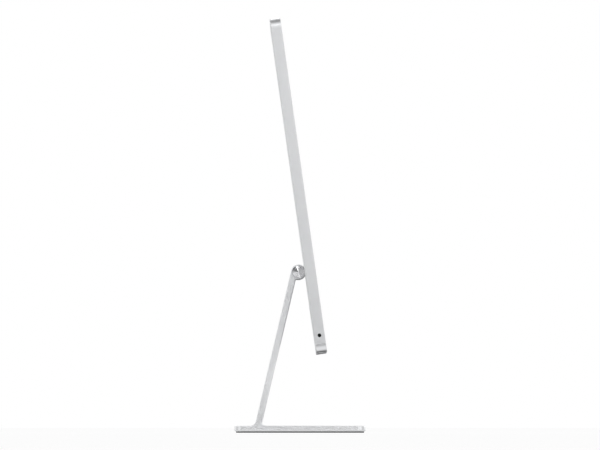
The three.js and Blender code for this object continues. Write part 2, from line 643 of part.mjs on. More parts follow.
/** Camera block behind the top border, with a socket for its lens. */
function cameraBlock() {
  const body = box(CAMERA.width, CAMERA.thickness, CAMERA.height, 0, -CAMERA.thickness / 2, 0);
  const socket = forwardCylinder(CAMERA.lensRadius + SMALL_GAP, CAMERA.lensLength + 2, 20);
  return cut(body, socket.translate(0, CAMERA.lensLength - CAMERA.thickness, 0));
}

function addScreen(display) {
  const glass = displayBlock(RIM + GAP, 0, GLASS_THICKNESS).translate(0, AXIS_TO_BACK, 0);
  addPiece(display, "cover_glass", glass, COVER_GLASS, 0, forward(GLASS_DEPTH));
  addPiece(display, "glass_adhesive", adhesiveFrame(), FOAM, 0, forward(LEDGE_DEPTH + SMALL_GAP));
  addPiece(display, "lcd_cell", panelPlate(CELL_THICKNESS), LCD_GLASS, 0, forward(CELL_DEPTH));
  const backlight = panelPlate(BACKLIGHT_THICKNESS);
  addPiece(display, "backlight_unit", backlight, WHITE_PLASTIC, 0, forward(BACKLIGHT_DEPTH));
  addPiece(display, "panel_tray", panelPlate(TRAY_THICKNESS), STEEL, 0, forward(TRAY_DEPTH));

  const shape = roundedRectangle(WEIGHT.outer - WEIGHT.inner, WEIGHT.top - WEIGHT.bottom, WEIGHT.corner, 3);
  const weightZ = (WEIGHT.top + WEIGHT.bottom) / 2;
  eachSide((side, sign) => {
    const x = (sign * (WEIGHT.inner + WEIGHT.outer)) / 2;
    const weight = plate(shape, WEIGHT.thickness);
    addPiece(display, `chin_weight_${side}`, weight, STEEL, x, forward(WEIGHT_DEPTH), weightZ);
  });

  const lens = forwardCylinder(CAMERA.lensRadius, CAMERA.lensLength - SMALL_GAP, 20);
  const lensY = forward(CAMERA_DEPTH + CAMERA.thickness - CAMERA.lensLength + SMALL_GAP);
  const microphone = box(MICROPHONE.width, MICROPHONE.depth, MICROPHONE.height);
  const microphoneY = forward(CAMERA_DEPTH + CAMERA.thickness / 2);
  addPiece(display, "camera_module", cameraBlock(), BLACK_PLASTIC, 0, forward(CAMERA_DEPTH), CAMERA_HEIGHT);
  addPiece(display, "camera_lens", lens, LCD_GLASS, 0, lensY, CAMERA_HEIGHT);
  addPiece(display, "microphone_board", microphone, BOARD_GREEN, MICROPHONE.x, microphoneY, CAMERA_HEIGHT);
}

// ---------------------------------------------------------------------------------------------
// Electronics in the chin
// ---------------------------------------------------------------------------------------------

/** Board with a few chips on its front face and a hole near each corner. */
function logicBoard() {
  const board = plate(roundedRectangle(BOARD_WIDTH, BOARD_HEIGHT, 2, 2), BOARD.thickness);
  const chip = (width, tall, thickness, x, z) =>
    box(width, thickness + 0.2, tall, x, 0.1 - BOARD.thickness - thickness / 2, z);
  const chips = [
    chip(14, 11, 0.8, -62, 14),
    chip(14, 11, 0.8, -62, -2),
    chip(9, 9, 0.7, -20, -12),
    chip(18, 12, 0.9, 34, 10),
    chip(7, 7, 0.6, 60, -14),
  ];
  const x = BOARD_WIDTH / 2 - 5;
  const z = BOARD_HEIGHT / 2 - 5;
  const holes = [-x, x].flatMap((holeX) =>
    [-z, z].map((holeZ) => forwardCylinder(1.6, 4, 12).translate(holeX, 1, holeZ)),
  );
  return cut(join(board, ...chips), ...holes);
}

/** Flattened copper pipe along X, with round edges. */
function heatPipe() {
  const length = BOARD_WIDTH + 2;
  return slab(slot(PIPE.width, PIPE.thickness, 5), length)
    .translate(0, 0, -length / 2)
    .rotateY(Math.PI / 2);
}

/** Parallel fins on a thin base, notched for the heat pipe. */
function finStack() {
  const height = FAN.size - 2;
  const base = box(FIN.width, FIN.base, height, 0, FIN.base / 2 - FIN.thickness, 0);
  const pitch = (height - FIN.sheet) / (FIN.count - 1);
  const fins = Array.from({ length: FIN.count }, (_, i) =>
    box(FIN.width, FIN.thickness, FIN.sheet, 0, -FIN.thickness / 2, i * pitch - (height - FIN.sheet) / 2),
  );
  const notchDepth = PIPE_FRONT + GAP - FIN_DEPTH;
  const notch = box(FIN.width + 2, notchDepth + 1, PIPE.width + 2 * GAP, 0, (1 - notchDepth) / 2);
  return cut(join(base, ...fins), notch.translate(0, 0, PIPE_HEIGHT - FAN_HEIGHT));
}

/** Shallow case with an inlet to the front, an outlet towards the middle and a post for the rotor. */
function fanCase(sign) {
  const outer = plate(roundedRectangle(FAN.size, FAN.size, 6, 4), FAN.thickness);
  const roomRadius = FAN.rotor + FAN.clearance;
  const roomLength = FAN.thickness - 2 * FAN.sheet;
  const room = forwardCylinder(roomRadius, roomLength, 36).translate(0, -FAN.sheet, 0);
  const outletX = -sign * (FAN.size / 4 + 0.5);
  const outlet = box(FAN.size / 2 + 1, roomLength, 2 * roomRadius - 8, outletX, -FAN.thickness / 2, 0);
  const inlet = forwardCylinder(0.72 * FAN.rotor, FAN.thickness, 32).translate(0, -FAN.thickness / 2, 0);
  const post = forwardCylinder(FAN.post, FAN.thickness - 2 * FAN.sheet, 28);
  return join(cut(outer, room, outlet, inlet), post.translate(0, -FAN.sheet / 2, 0));
}

/** Hub with a ring of swept blades. */
function fanRotor() {
  const thickness = FAN.thickness - 2 * FAN.sheet - 2 * GAP;
  const hubRadius = 0.4 * FAN.rotor;
  const sweep = 0.6;
  const bladeLength = FAN.rotor - hubRadius + 1;
  const blades = Array.from({ length: BLADE_COUNT }, (_, i) =>
    box(bladeLength, thickness, 0.7)
      .rotateY(sweep)
      .translate(hubRadius - 1 + (bladeLength / 2) * Math.cos(sweep), -thickness / 2, 0)
      .rotateY((i / BLADE_COUNT) * 2 * Math.PI),
  );
  const bore = forwardCylinder(FAN.post + SHAFT_RUNNING_GAP, thickness + 2, 28).translate(0, 1, 0);
  return cut(join(forwardCylinder(hubRadius, thickness, 28), ...blades), bore);
}

/** Chip on its carrier; the die faces the rear and presses on the heat pipe. */
function processor() {
  const thickness = PROCESSOR.thickness - 2 * SMALL_GAP;
  const carrier = thickness - PROCESSOR.die;
  return join(
    box(PROCESSOR.width, carrier, PROCESSOR.width, 0, carrier / 2 - thickness, 0),
    box(14, PROCESSOR.die + 0.2, 10, 0, -PROCESSOR.die / 2 - 0.1, 0),
  );
}

function addCooling(display) {
  const pipeY = forward(PIPE_DEPTH + PIPE.thickness / 2);
  addPiece(display, "heat_pipe", heatPipe(), COPPER, 0, pipeY, PIPE_HEIGHT);
  addPiece(display, "processor", processor(), SILICON, 0, forward(PIPE_FRONT + SMALL_GAP), PIPE_HEIGHT);
  eachSide((side, sign) => {
    addPiece(display, `fin_stack_${side}`, finStack(), COPPER, sign * FIN_X, forward(FIN_DEPTH), FAN_HEIGHT);
    const fan = new THREE.Group();
    fan.position.set(sign * FAN.x, forward(FAN_DEPTH), FAN_HEIGHT);
    display.add(fan);
    addPiece(fan, `fan_case_${side}`, fanCase(sign), BLACK_PLASTIC);
    addPiece(fan, `fan_rotor_${side}`, fanRotor(), BLACK_PLASTIC, 0, -FAN.sheet - GAP);
  });
}

// ---------------------------------------------------------------------------------------------
// Speakers
// ---------------------------------------------------------------------------------------------

/** Box with two open pockets, one for the driver, and a mouth towards the vents. */
function speakerBox() {
  const { height, thickness, floor } = SPEAKER;
  const outer = plate(roundedRectangle(SPEAKER_LENGTH, height, 3, 3), thickness);
  const pocketShape = roundedRectangle(POCKET_LENGTH, POCKET_HEIGHT, 4, 3);
  const pocket = (x) => plate(pocketShape, thickness - floor + 1).translate(x, -floor, 0);
  const mouth = box(POCKET_LENGTH / 2, 2, height / 2, DRIVER_X, -thickness / 2, -height / 2);
  return cut(outer, pocket(-DRIVER_X), pocket(DRIVER_X), mouth);
}

/** Shallow cone with a dust cap, stretched along the chin. */
function speakerCone() {
  const radius = POCKET_HEIGHT / 2 - CONE.gap;
  const profile = [
    [0, 0],
    [radius, 0],
    [radius, 0.7],
    [0.85 * radius, CONE.thickness - 0.3],
    [0.4 * radius, 0.8],
    [0.3 * radius, 1.3],
    [0, CONE.thickness],
  ];
  return turned(profile, 28).scale((POCKET_LENGTH / 2 - CONE.gap) / radius, 1, 1);
}

function addSpeakers(display) {
  const boxY = forward(FAN_DEPTH);
  const coneY = forward(FAN_DEPTH + SPEAKER.floor + SMALL_GAP);
  eachSide((side, sign) => {
    const x = sign * SPEAKER_X;
    addPiece(display, `speaker_box_${side}`, speakerBox(), BLACK_PLASTIC, x, boxY, SPEAKER_HEIGHT);
    addPiece(display, `speaker_cone_${side}`, speakerCone(), FOAM, x + DRIVER_X, coneY, SPEAKER_HEIGHT);
  });
}

// ---------------------------------------------------------------------------------------------
// Sockets, button and the small boards behind them
// ---------------------------------------------------------------------------------------------

/** Metal shell with a tongue inside, open to the rear. */
function usbSocket() {
  const { width, height, shell, length, tongue } = USB;
  const opening = plate(slot(width - 2 * shell, height - 2 * shell), length - 1);
  const body = cut(plate(slot(width, height), length), opening.translate(0, 0.5, 0));
  return join(body, box(0.75 * width, length - 1.5, tongue, 0, -length / 2 - 0.4, 0));
}

/** Round cup with a flat contact floor, open to the rear. */
function powerInlet() {
  const { radius, wall, recess } = POWER_INLET;
  return turned([
    [0, recess],
    [radius - wall, recess],
    [radius - wall, 0],
    [radius, 0],
    [radius, recess + wall],
    [0, recess + wall],
  ]);
}

/** Disc with a flange that stops behind the back wall and a stem that reaches for the switch. */
function powerButton() {
  const { radius, proud, lip, stem } = BUTTON;
  const flangeRear = BACK_WALL + GAP;
  const flangeFront = flangeRear + BUTTON.flange;
  return turned([
    [0, -proud],
    [radius - 0.4, -proud],
    [radius, 0.2],
    [radius, flangeRear],
    [radius + lip, flangeRear],
    [radius + lip, flangeFront],
    [stem, flangeFront],
    [stem, flangeFront + BUTTON.stemLength],
    [0, flangeFront + BUTTON.stemLength],
  ]);
}

/** Small board with a push switch that faces the rear. */
function switchBoard() {
  const { boardWidth, boardHeight, board, size, height } = SWITCH;
  const sheet = plate(roundedRectangle(boardWidth, boardHeight, 2, 2), board).translate(0, -height, 0);
  return join(sheet, box(size, height + 0.2, size, 0, -height / 2 - 0.1, 0));
}

/** Socket body with a blind bore towards -X; its mouth is at x = 0. */
function headphoneJack() {
  const { bore, length, depth, height } = JACK;
  return cut(box(length, depth, height, length / 2, 0, 0), crossCylinder(bore, 2 * (length - 1.5), 20));
}

function addSockets(display) {
  const width = (USB_COUNT - 1) * USB_PITCH + USB.width + 2 * PORT_BOARD.margin;
  const boardShape = roundedRectangle(width, PORT_BOARD.top - PORT_BOARD.bottom, 2, 2);
  const board = plate(boardShape, PORT_BOARD.thickness);
  const boardZ = (PORT_BOARD.top + PORT_BOARD.bottom) / 2;
  const socketY = forward(SOCKET_SET_BACK);
  addPiece(display, "port_board", board, BOARD_GREEN, USB_MIDDLE, forward(PORT_BOARD_DEPTH), boardZ);
  USB_PLACES.forEach((x, i) => {
    addPiece(display, `usb_socket_${i + 1}`, usbSocket(), NICKEL, x, socketY, PORT_ROW);
  });
  addPiece(display, "power_inlet", powerInlet(), BLACK_PLASTIC, 0, socketY, PORT_ROW);
  addPiece(display, "power_button", powerButton(), ALUMINIUM, BUTTON_X, forward(0), PORT_ROW);
  addPiece(display, "switch_board", switchBoard(), BOARD_GREEN, BUTTON_X, forward(SWITCH_DEPTH), PORT_ROW);
  const jackX = SIDE_WALL + GAP - DISPLAY_WIDTH / 2;
  const jackY = forward(DISPLAY_DEPTH / 2);
  addPiece(display, "headphone_jack", headphoneJack(), BLACK_PLASTIC, jackX, jackY, JACK_HEIGHT);
}

// ---------------------------------------------------------------------------------------------
// Boards, cell, cable and antennas
// ---------------------------------------------------------------------------------------------

function addElectronics(display) {
  addPiece(display, "logic_board", logicBoard(), BOARD_GREEN, 0, forward(BOARD_DEPTH), BOARD_MIDDLE);
  const cell = forwardCylinder(CLOCK_CELL.radius, CLOCK_CELL.thickness, 28);
  const cellY = forward(BOARD_DEPTH - SMALL_GAP - CLOCK_CELL.thickness);
  addPiece(display, "clock_cell", cell, NICKEL, CLOCK_CELL.x, cellY, CLOCK_CELL.z);

  const cableTop = SCREEN_BOTTOM - PANEL_BOTTOM_MARGIN - SMALL_GAP;
  const cable = box(DISPLAY_CABLE.width, DISPLAY_CABLE.thickness, cableTop - DISPLAY_CABLE.bottom);
  const cableZ = (cableTop + DISPLAY_CABLE.bottom) / 2;
  addPiece(display, "display_cable", cable, FLEX, DISPLAY_CABLE.x, forward(CABLE_DEPTH), cableZ);

  const antennaY = forward(CAMERA_DEPTH + CAMERA.thickness / 2);
  eachSide((side, sign) => {
    const antenna = box(ANTENNA.length, ANTENNA.depth, ANTENNA.height);
    addPiece(display, `antenna_${side}`, antenna, FLEX, sign * ANTENNA.x, antennaY, CAMERA_HEIGHT);
  });
}

// ---------------------------------------------------------------------------------------------
// Assembly
// ---------------------------------------------------------------------------------------------

const display = new THREE.Group();
display.position.set(0, HINGE_REARWARD, HINGE_HEIGHT);
display.rotation.x = -REST_TILT;
addHingePieces(display);
addPiece(display, "rear_housing", rearHousing(), ALUMINIUM);
addScreen(display);
addCooling(display);
addSpeakers(display);
addSockets(display);
addElectronics(display);

const computer = new THREE.Group();
computer.add(makeStand(), display);
export default computer;
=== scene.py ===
"""All-in-one computer: a thin display leaning back on a bent aluminium stand.

The new pieces are surfaces worked out with numpy. Most of them are loops carried along a short edge
profile, so that every edge has its real rounding, and flat regions that are filled round their holes.
Lengths are metres. Display pieces are drawn in the display's own terms: x across, `depth` forward of
its back face, and `up` from the hinge axis.
"""

import json
import math

import bmesh
import bpy
import numpy as np
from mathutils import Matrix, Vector
from mathutils.geometry import delaunay_2d_cdt


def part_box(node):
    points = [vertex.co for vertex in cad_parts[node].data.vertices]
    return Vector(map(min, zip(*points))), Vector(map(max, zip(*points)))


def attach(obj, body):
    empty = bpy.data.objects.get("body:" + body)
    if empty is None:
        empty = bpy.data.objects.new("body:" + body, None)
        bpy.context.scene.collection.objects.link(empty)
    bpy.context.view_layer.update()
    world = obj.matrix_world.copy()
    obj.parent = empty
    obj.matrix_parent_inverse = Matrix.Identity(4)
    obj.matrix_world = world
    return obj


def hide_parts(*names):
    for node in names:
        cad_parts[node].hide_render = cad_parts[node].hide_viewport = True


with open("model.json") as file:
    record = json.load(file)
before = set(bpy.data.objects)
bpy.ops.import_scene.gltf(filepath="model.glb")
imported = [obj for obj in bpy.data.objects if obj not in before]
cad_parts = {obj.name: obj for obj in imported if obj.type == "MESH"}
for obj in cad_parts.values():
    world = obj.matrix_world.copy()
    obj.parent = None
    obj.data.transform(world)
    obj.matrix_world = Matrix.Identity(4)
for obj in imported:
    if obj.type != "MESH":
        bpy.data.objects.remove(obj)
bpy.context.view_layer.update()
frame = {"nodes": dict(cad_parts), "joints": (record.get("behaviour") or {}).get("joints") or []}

MM = 0.001
TAU = 2 * math.pi
hinge = Vector(next(j for j in frame["joints"] if j["name"] == "display_tilt")["pos_m"])

# ---- Sizes ----

REST_TILT = math.radians(8)
AXIS_TO_BACK = 7 * MM
DISPLAY_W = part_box("rear_housing")[1].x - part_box("rear_housing")[0].x
DISPLAY_TOP = 280.9 * MM
DISPLAY_BOTTOM = -93.7 * MM
DISPLAY_H = DISPLAY_TOP - DISPLAY_BOTTOM
DISPLAY_MIDDLE = (DISPLAY_TOP + DISPLAY_BOTTOM) / 2
DISPLAY_DEPTH = 12.2 * MM
DISPLAY_CORNER = 10 * MM
REAR_ROUND = 1.1 * MM
FRONT_ROUND = 0.7 * MM
RIM = 1.2 * MM
RIM_CHAMFER = 0.15 * MM
SIDE_WALL = 3.2 * MM
BACK_WALL = 1.6 * MM
LEDGE = 10.5 * MM
MOUTH_ROUND = 0.3 * MM

GLASS_GAP = 0.3 * MM
GLASS_BACK = 11.0 * MM
GLASS_FRONT = 12.1 * MM
GLASS_ROUND = 0.15 * MM
PICTURE_W = 520.7 * MM
PICTURE_TOP = DISPLAY_TOP - 13.2 * MM
PICTURE_BOTTOM = -25.2 * MM
CHIN_TOP = -36.5 * MM

PORT_ROW = -46 * MM
USB_X = [(-205 + (i - 1.5) * 15) * MM for i in range(4)]
USB_W, USB_H = 8.94 * MM, 3.16 * MM
INLET_R = 8 * MM
BUTTON_X = 245 * MM
BUTTON_R = 7 * MM
JACK_UP = DISPLAY_BOTTOM + 19.2 * MM
JACK_R = 2.05 * MM
VENT_W, VENT_H, VENT_PITCH = 6 * MM, 2.2 * MM, 8 * MM
VENT_ROWS = [(146 * MM, 13), (78 * MM, 7)]  # distance of a row's start from the middle, slots

STAND_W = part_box("stand")[1].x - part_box("stand")[0].x
FOOT_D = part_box("stand")[1].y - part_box("stand")[0].y
FOOT_CORNER = 10 * MM
FOOT_BOTTOM = 1.3 * MM
FOOT_TOP = 7.7 * MM
EDGE = 1.0 * MM  # rounding along the stand's upper edges
BOTTOM_ROUND = 1.8 * MM
LEAN = math.radians(13.2)
UPRIGHT = 7.2 * MM
BARREL_R = 8.3 * MM
BORE_R = 6.4 * MM
CAP_R = 6.9 * MM
CAP_DEPTH = 2.5 * MM
CAP_RISE = 0.45 * MM  # height of the cap's cone, which is set back 0.1 mm at its rim
SPUN_SMOOTH, SPUN_ROUGH = 0.15, 0.17
REAR_FILLET = 6.5 * MM
FRONT_FILLET = 4.2 * MM
NOTCH_FILLET = 1.0 * MM
CABLE_HOLE_R = 14 * MM
CABLE_HOLE_UP = 62 * MM
CABLE_HOLE_ROUND = 0.8 * MM
ARM_SLOT_HALF = 25 * MM

# ---- Outlines ----


def arc(x, y, radius, start, end, steps):
    """Points at (x, y) plus the radius turned from the start angle to the end angle, ends included."""
    a = np.linspace(start, end, steps + 1)
    return np.stack([x + radius * np.cos(a), y + radius * np.sin(a)], 1)


def rounded_rectangle(width, height, radius, steps=12):
    """Four quarter arcs joined by straight sides, anticlockwise from the right side's upper end."""
    x, y, q = width / 2 - radius, height / 2 - radius, math.pi / 2
    corners = [(x, y), (-x, y), (-x, -y), (x, -y)]
    return np.concatenate([arc(*c, radius, i * q, (i + 1) * q, steps) for i, c in enumerate(corners)])


def circle(radius, sides, x=0.0, y=0.0):
    """Points at equal angles round (x, y)."""
    return arc(x, y, radius, 0, TAU, sides)[:-1]


def slot_outline(width, height, steps=10):
    """Two half circles joined by straight sides."""
    x, r, q = (width - height) / 2, height / 2, TAU / 4
    return np.concatenate([arc(x, 0, r, -q, q, steps), arc(-x, 0, r, q, 3 * q, steps)])


def rounding(face, side, inset, steps=5):
    """Edge profile rows (inset, along) from a flat face at `face` to a side at `side`: a quarter of an
    ellipse that leaves the face sideways, `inset` from the edge, and meets the side square to it."""
    a = np.linspace(0, TAU / 4, steps + 1)
    return np.stack([inset * (1 - np.sin(a)), face + (side - face) * (1 - np.cos(a))], 1)


def with_side_points(loop, heights):
    """A rounded rectangle's loop with points added on its left and right sides at those heights."""
    x, half = loop[:, 0].max(), len(loop) // 2
    low = np.sort(heights)
    left = np.stack([np.full(len(low), -x), low[::-1]], 1)
    right = np.stack([np.full(len(low), x), low], 1)
    return np.concatenate([loop[:half], left, loop[half:], right])


# ---- Surfaces ----


SHARP = 30  # degrees
JOIN = 0.002 * MM  # points closer than this are one


class Skin:
    """Patches of one closed surface, joined where their edges meet."""

    def __init__(self):
        self.points, self.faces, self.marks, self.count = [], [], [], 0

    def add(self, points, faces, mark=0):
        self.points.append(points)
        self.faces += [tuple(f) for f in (np.asarray(faces) + self.count).tolist()]
        self.marks += [mark] * len(faces)
        self.count += len(points)

    def grid(self, points, around=False, keep=None, mark=0):
        """Quads between neighbouring rows and columns; `around` joins the last column to the first."""
        rows, columns = points.shape[:2]
        index = np.arange(rows * columns).reshape(rows, columns)
        if around:
            index = np.concatenate([index, index[:, :1]], 1)
        quads = np.stack([index[:-1, :-1], index[:-1, 1:], index[1:, 1:], index[1:, :-1]], -1)
        quads = quads.reshape(-1, 4) if keep is None else quads[keep]
        self.add(points.reshape(-1, 3), quads, mark)

    def closed(self, rows, mark=0):
        """Rows carried round, with the first and the last row closed flat."""
        self.grid(rows, around=True, mark=mark)
        for row in (rows[0], rows[-1]):
            self.add(row, [list(range(len(row)))], mark)

    def flat(self, place, outer, holes=(), mark=0):
        """The flat region inside `outer` and outside each hole, as triangles, put in space by `place`."""
        loops = [outer, *holes]
        starts = np.cumsum([0] + [len(loop) for loop in loops])
        edges = [(a + i, a + (i + 1) % (b - a)) for a, b in zip(starts, starts[1:]) for i in range(b - a)]
        flat = [Vector(p) for p in np.concatenate(loops).tolist()]
        points, _, faces, *_ = delaunay_2d_cdt(flat, edges, [list(range(len(outer)))], 2, 1e-9)
        self.add(place(np.array(points)), np.array(faces), mark)

    def piece(self, name, materials, body, replaces=()):
        """The object, on its body: doubles merged, faces turned outward, and sharp
        where two faces meet at over SHARP degrees."""
        mesh = bpy.data.meshes.new(name)
        mesh.from_pydata(np.concatenate(self.points).tolist(), [], self.faces)
        mesh.polygons.foreach_set("material_index", self.marks)
        shape = bmesh.new()
        shape.from_mesh(mesh)
        bmesh.ops.remove_doubles(shape, verts=shape.verts, dist=JOIN)
        bmesh.ops.recalc_face_normals(shape, faces=shape.faces)
        shape.to_mesh(mesh)
        shape.free()
        mesh.polygons.foreach_set("use_smooth", np.ones(len(mesh.polygons), bool))
        mesh.set_sharp_from_angle(angle=math.radians(SHARP))
        for material in materials:
            mesh.materials.append(material)
        thing = bpy.data.objects.new(name, mesh)
        bpy.context.scene.collection.objects.link(thing)
        normals = thing.modifiers.new("flat faces stay flat", "WEIGHTED_NORMAL")
        normals.keep_sharp = True
        normals.weight = 80
        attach(thing, body)
        if replaces:
            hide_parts(*replaces)
        return thing


def on_display(x, depth, up):
    """Across, forward of the display's back face and up from the hinge axis, turned back by the rest tilt."""
    x, depth, up = np.broadcast_arrays(*np.atleast_1d(x, depth, up))
    out = -AXIS_TO_BACK - depth
    y = hinge.y + out * math.cos(REST_TILT) + up * math.sin(REST_TILT)
    z = hinge.z - out * math.sin(REST_TILT) + up * math.cos(REST_TILT)
    return np.stack([x, y, z], -1)


def display_plane(depth, x=0.0, up=0.0):
    """Puts a flat outline, drawn as (x, up), at one depth of the display."""
    return lambda p: on_display(p[:, 0] + x, depth, p[:, 1] + up)


def loops_on_display(outline, profile, x=0.0, up=0.0):
    """One loop for each profile row: the outline for that inset, at that depth."""
    loops = [outline(inset) for inset, _ in profile]
    return np.stack([on_display(p[:, 0] + x, depth, p[:, 1] + up) for p, (_, depth) in zip(loops, profile)])


def turned_about(profile, sides, place):
    """A profile of (radius, along) rows turned about an axis: place(along, across, up) puts it in space."""
    a = np.linspace(0, TAU, sides, endpoint=False)
    radius, along = np.asarray(profile).T[:, :, None]
    return place(along + 0 * a, radius * np.cos(a), radius * np.sin(a))


def along_hinge(side):
    """Puts (out, back, up) about the hinge axis: `out` is measured from the stand's left or right side."""
    def place(out, back, up):
        return np.stack([side * (STAND_W / 2 + out), hinge.y + back, hinge.z + up], -1)
    return place


def into_display(x, up):
    """Puts (depth, across, up) about a line square to the display's back, at that place on it."""
    return lambda depth, across, rise: on_display(x + across, depth, up + rise)


# ---- Materials ----


def linear(colour):
    """An sRGB hex colour as linear red, green, blue and alpha."""
    c = np.array([int(colour[i:i + 2], 16) for i in (1, 3, 5)]) / 255
    return (*np.where(c <= 0.04045, c / 12.92, ((c + 0.055) / 1.055) ** 2.4), 1.0)


def node(tree, kind, inputs, give=0, **settings):
    """Adds a node with its settings, gives each input a value or a link, and returns one output."""
    made = tree.nodes.new("ShaderNode" + kind)
    for key, value in settings.items():
        setattr(made, key, value)
    for key, value in inputs.items():
        if isinstance(value, bpy.types.NodeSocket):
            tree.links.new(value, made.inputs[key])
        else:
            made.inputs[key].default_value = value
    return made.outputs[give] if made.outputs else made


def per(size_mm):
    """The scale at which a pattern's features are that many millimetres across."""
    return 1 / (size_mm * MM)


def bare_tree(owner):
    """The node tree of a material or a world, emptied."""
    owner.use_nodes = True
    owner.node_tree.nodes.clear()
    return owner.node_tree


def finish(name, recipe, *tones):
    """A material whose Principled shader takes the inputs that recipe(tree, place, *tones) returns."""
    material = bpy.data.materials.new(name)
    tree = bare_tree(material)
    place = node(tree, "TexCoord", {}, "Object")
    node(tree, "OutputMaterial", {"Surface": node(tree, "BsdfPrincipled", recipe(tree, place, *tones))})
    return material


def varied(tree, tint, light, dark, wear, smooth, rough):
    """A colour that follows one pattern and a roughness that follows another, each between two values."""
    return {
        "Base Color": node(tree, "Mix", {0: tint, 6: linear(light), 7: linear(dark)}, 2, data_type="RGBA"),
        "Roughness": node(tree, "MapRange", {"Value": wear, 1: 0.3, 2: 0.7, 3: smooth, 4: rough}),
    }


def blasted_aluminium(tree, place, light, dark, smooth, rough):
    """Bead-blasted and clear anodised: an even silver with a soft sheen and a fine sandy grain. The pits are
    about 0.1 mm across, and are drawn at 0.45 mm so that they can be seen. Handling leaves cloudy patches."""
    grain = node(tree, "TexNoise", {"Vector": place, "Scale": per(0.45), "Detail": 3.0})
    cloud = node(tree, "TexNoise", {"Vector": place, "Scale": per(60), "Detail": 2.0})
    return {
        **varied(tree, cloud, light, dark, grain, smooth, rough),
        "Metallic": 1.0,
        "Normal": node(tree, "Bump", {"Height": grain, "Distance": 0.012 * MM, "Strength": 0.22}),
    }


def spun_steel(tree, place):
    """Steel faced on a lathe and polished: rings a few hundredths of a millimetre apart draw each light out
    into two opposite wedges. The rings are drawn 0.22 mm apart. The piece's map runs out from the middle."""
    chart = node(tree, "UVMap", {}, uv_map="rings")
    stretched = node(tree, "Mapping", {"Vector": chart, "Scale": (45.0, 0.5, 1.0)})
    rings = node(tree, "TexNoise", {"Vector": stretched, "Scale": 1.0, "Detail": 2.0})
    return {
        **varied(tree, rings, "#cfcfd1", "#e2e2e4", rings, SPUN_SMOOTH, SPUN_ROUGH),
        "Metallic": 1.0,
        "Anisotropic": 1.0,
        "Tangent": node(tree, "Tangent", {}, direction_type="UV_MAP", uv_map="rings"),
    }


def machined_steel(tree, place):
    """Turned and milled steel under thin nickel: mid grey, with fine scratches that run along x."""
    stretched = node(tree, "Mapping", {"Vector": place, "Scale": (1.0, 12.0, 12.0)})
    scratches = node(tree, "TexNoise", {"Vector": stretched, "Scale": per(2.5), "Detail": 4.0})
    return {
        **varied(tree, scratches, "#8d8e90", "#a4a5a6", scratches, 0.28, 0.42),
        "Metallic": 1.0,
        "Normal": node(tree, "Bump", {"Height": scratches, "Distance": 0.01 * MM, "Strength": 0.5}),
    }


def oiled_spring_wire(tree, place):
    """Oil-tempered wire: dark grey with a blue and straw cast, and an oily shine."""
    cast = node(tree, "TexNoise", {"Vector": place, "Scale": per(3), "Detail": 2.0})
    return {
        **varied(tree, cast, "#55585c", "#6c6a66", cast, 0.25, 0.4),
        "Metallic": 1.0,
    }


def sintered_bronze(tree, place):
    """Bronze powder pressed and baked: warm brown, with open pores about 0.2 mm across."""
    pores = node(tree, "TexVoronoi", {"Vector": place, "Scale": per(0.3)})
    return {
        "Base Color": node(
            tree, "Mix", {0: pores, 6: linear("#8a6238"), 7: linear("#b08850")}, 2, data_type="RGBA"
        ),
        "Metallic": 1.0,
        "Roughness": 0.45,
        "Normal": node(tree, "Bump", {"Height": pores, "Distance": 0.03 * MM}),
    }


def bare_copper(tree, place):
    """Rolled and drawn copper: pinkish orange, browner in patches where air has dulled it."""
    dulled = node(tree, "TexNoise", {"Vector": place, "Scale": per(8), "Detail": 4.0})
    return {
        **varied(tree, dulled, "#a9633f", "#d4906a", dulled, 0.42, 0.24),
        "Metallic": 1.0,
    }


def bright_plate(tree, place, tone):
    """Bright plating on pressed metal: nearly a mirror, with a faint haze in patches of 1.5 mm."""
    haze = node(tree, "TexNoise", {"Vector": place, "Scale": per(1.5), "Detail": 2.0})
    return {
        "Base Color": linear(tone),
        "Metallic": 1.0,
        "Roughness": node(tree, "MapRange", {"Value": haze, 1: 0.3, 2: 0.7, 3: 0.14, 4: 0.27}),
    }


def rolled_steel(tree, place):
    """Cold-rolled zinc-coated sheet: even grey with long faint rolling streaks along x."""
    stretched = node(tree, "Mapping", {"Vector": place, "Scale": (1.0, 20.0, 20.0)})
    streaks = node(tree, "TexNoise", {"Vector": stretched, "Scale": per(30), "Detail": 4.0})
    return {
        **varied(tree, streaks, "#8b8c8e", "#adaeaf", streaks, 0.34, 0.48),
        "Metallic": 1.0,
    }


def moulded_plastic(tree, place, light, dark, smooth, rough):
    """Injection-moulded plastic from a spark-eroded mould: an even tone with a matt grain, 0.3 mm across."""
    grain = node(tree, "TexNoise", {"Vector": place, "Scale": per(0.3), "Detail": 2.0})
    flow = node(tree, "TexNoise", {"Vector": place, "Scale": per(20), "Detail": 1.0})
    return {
        **varied(tree, flow, light, dark, grain, smooth, rough),
        "IOR": 1.5,
        "Normal": node(tree, "Bump", {"Height": grain, "Distance": 0.02 * MM, "Strength": 0.6}),
    }


def moulded_rubber(tree, place):
    """Compression-moulded silicone: matt dark grey with a fine tooth, paler where it holds a little dust."""
    tooth = node(tree, "TexNoise", {"Vector": place, "Scale": per(0.35), "Detail": 3.0})
    dust = node(tree, "TexNoise", {"Vector": place, "Scale": per(14), "Detail": 3.0})
    return {
        **varied(tree, dust, "#3c3c3d", "#505051", tooth, 0.68, 0.85),
        "IOR": 1.42,
        "Normal": node(tree, "Bump", {"Height": tooth, "Distance": 0.04 * MM}),
    }


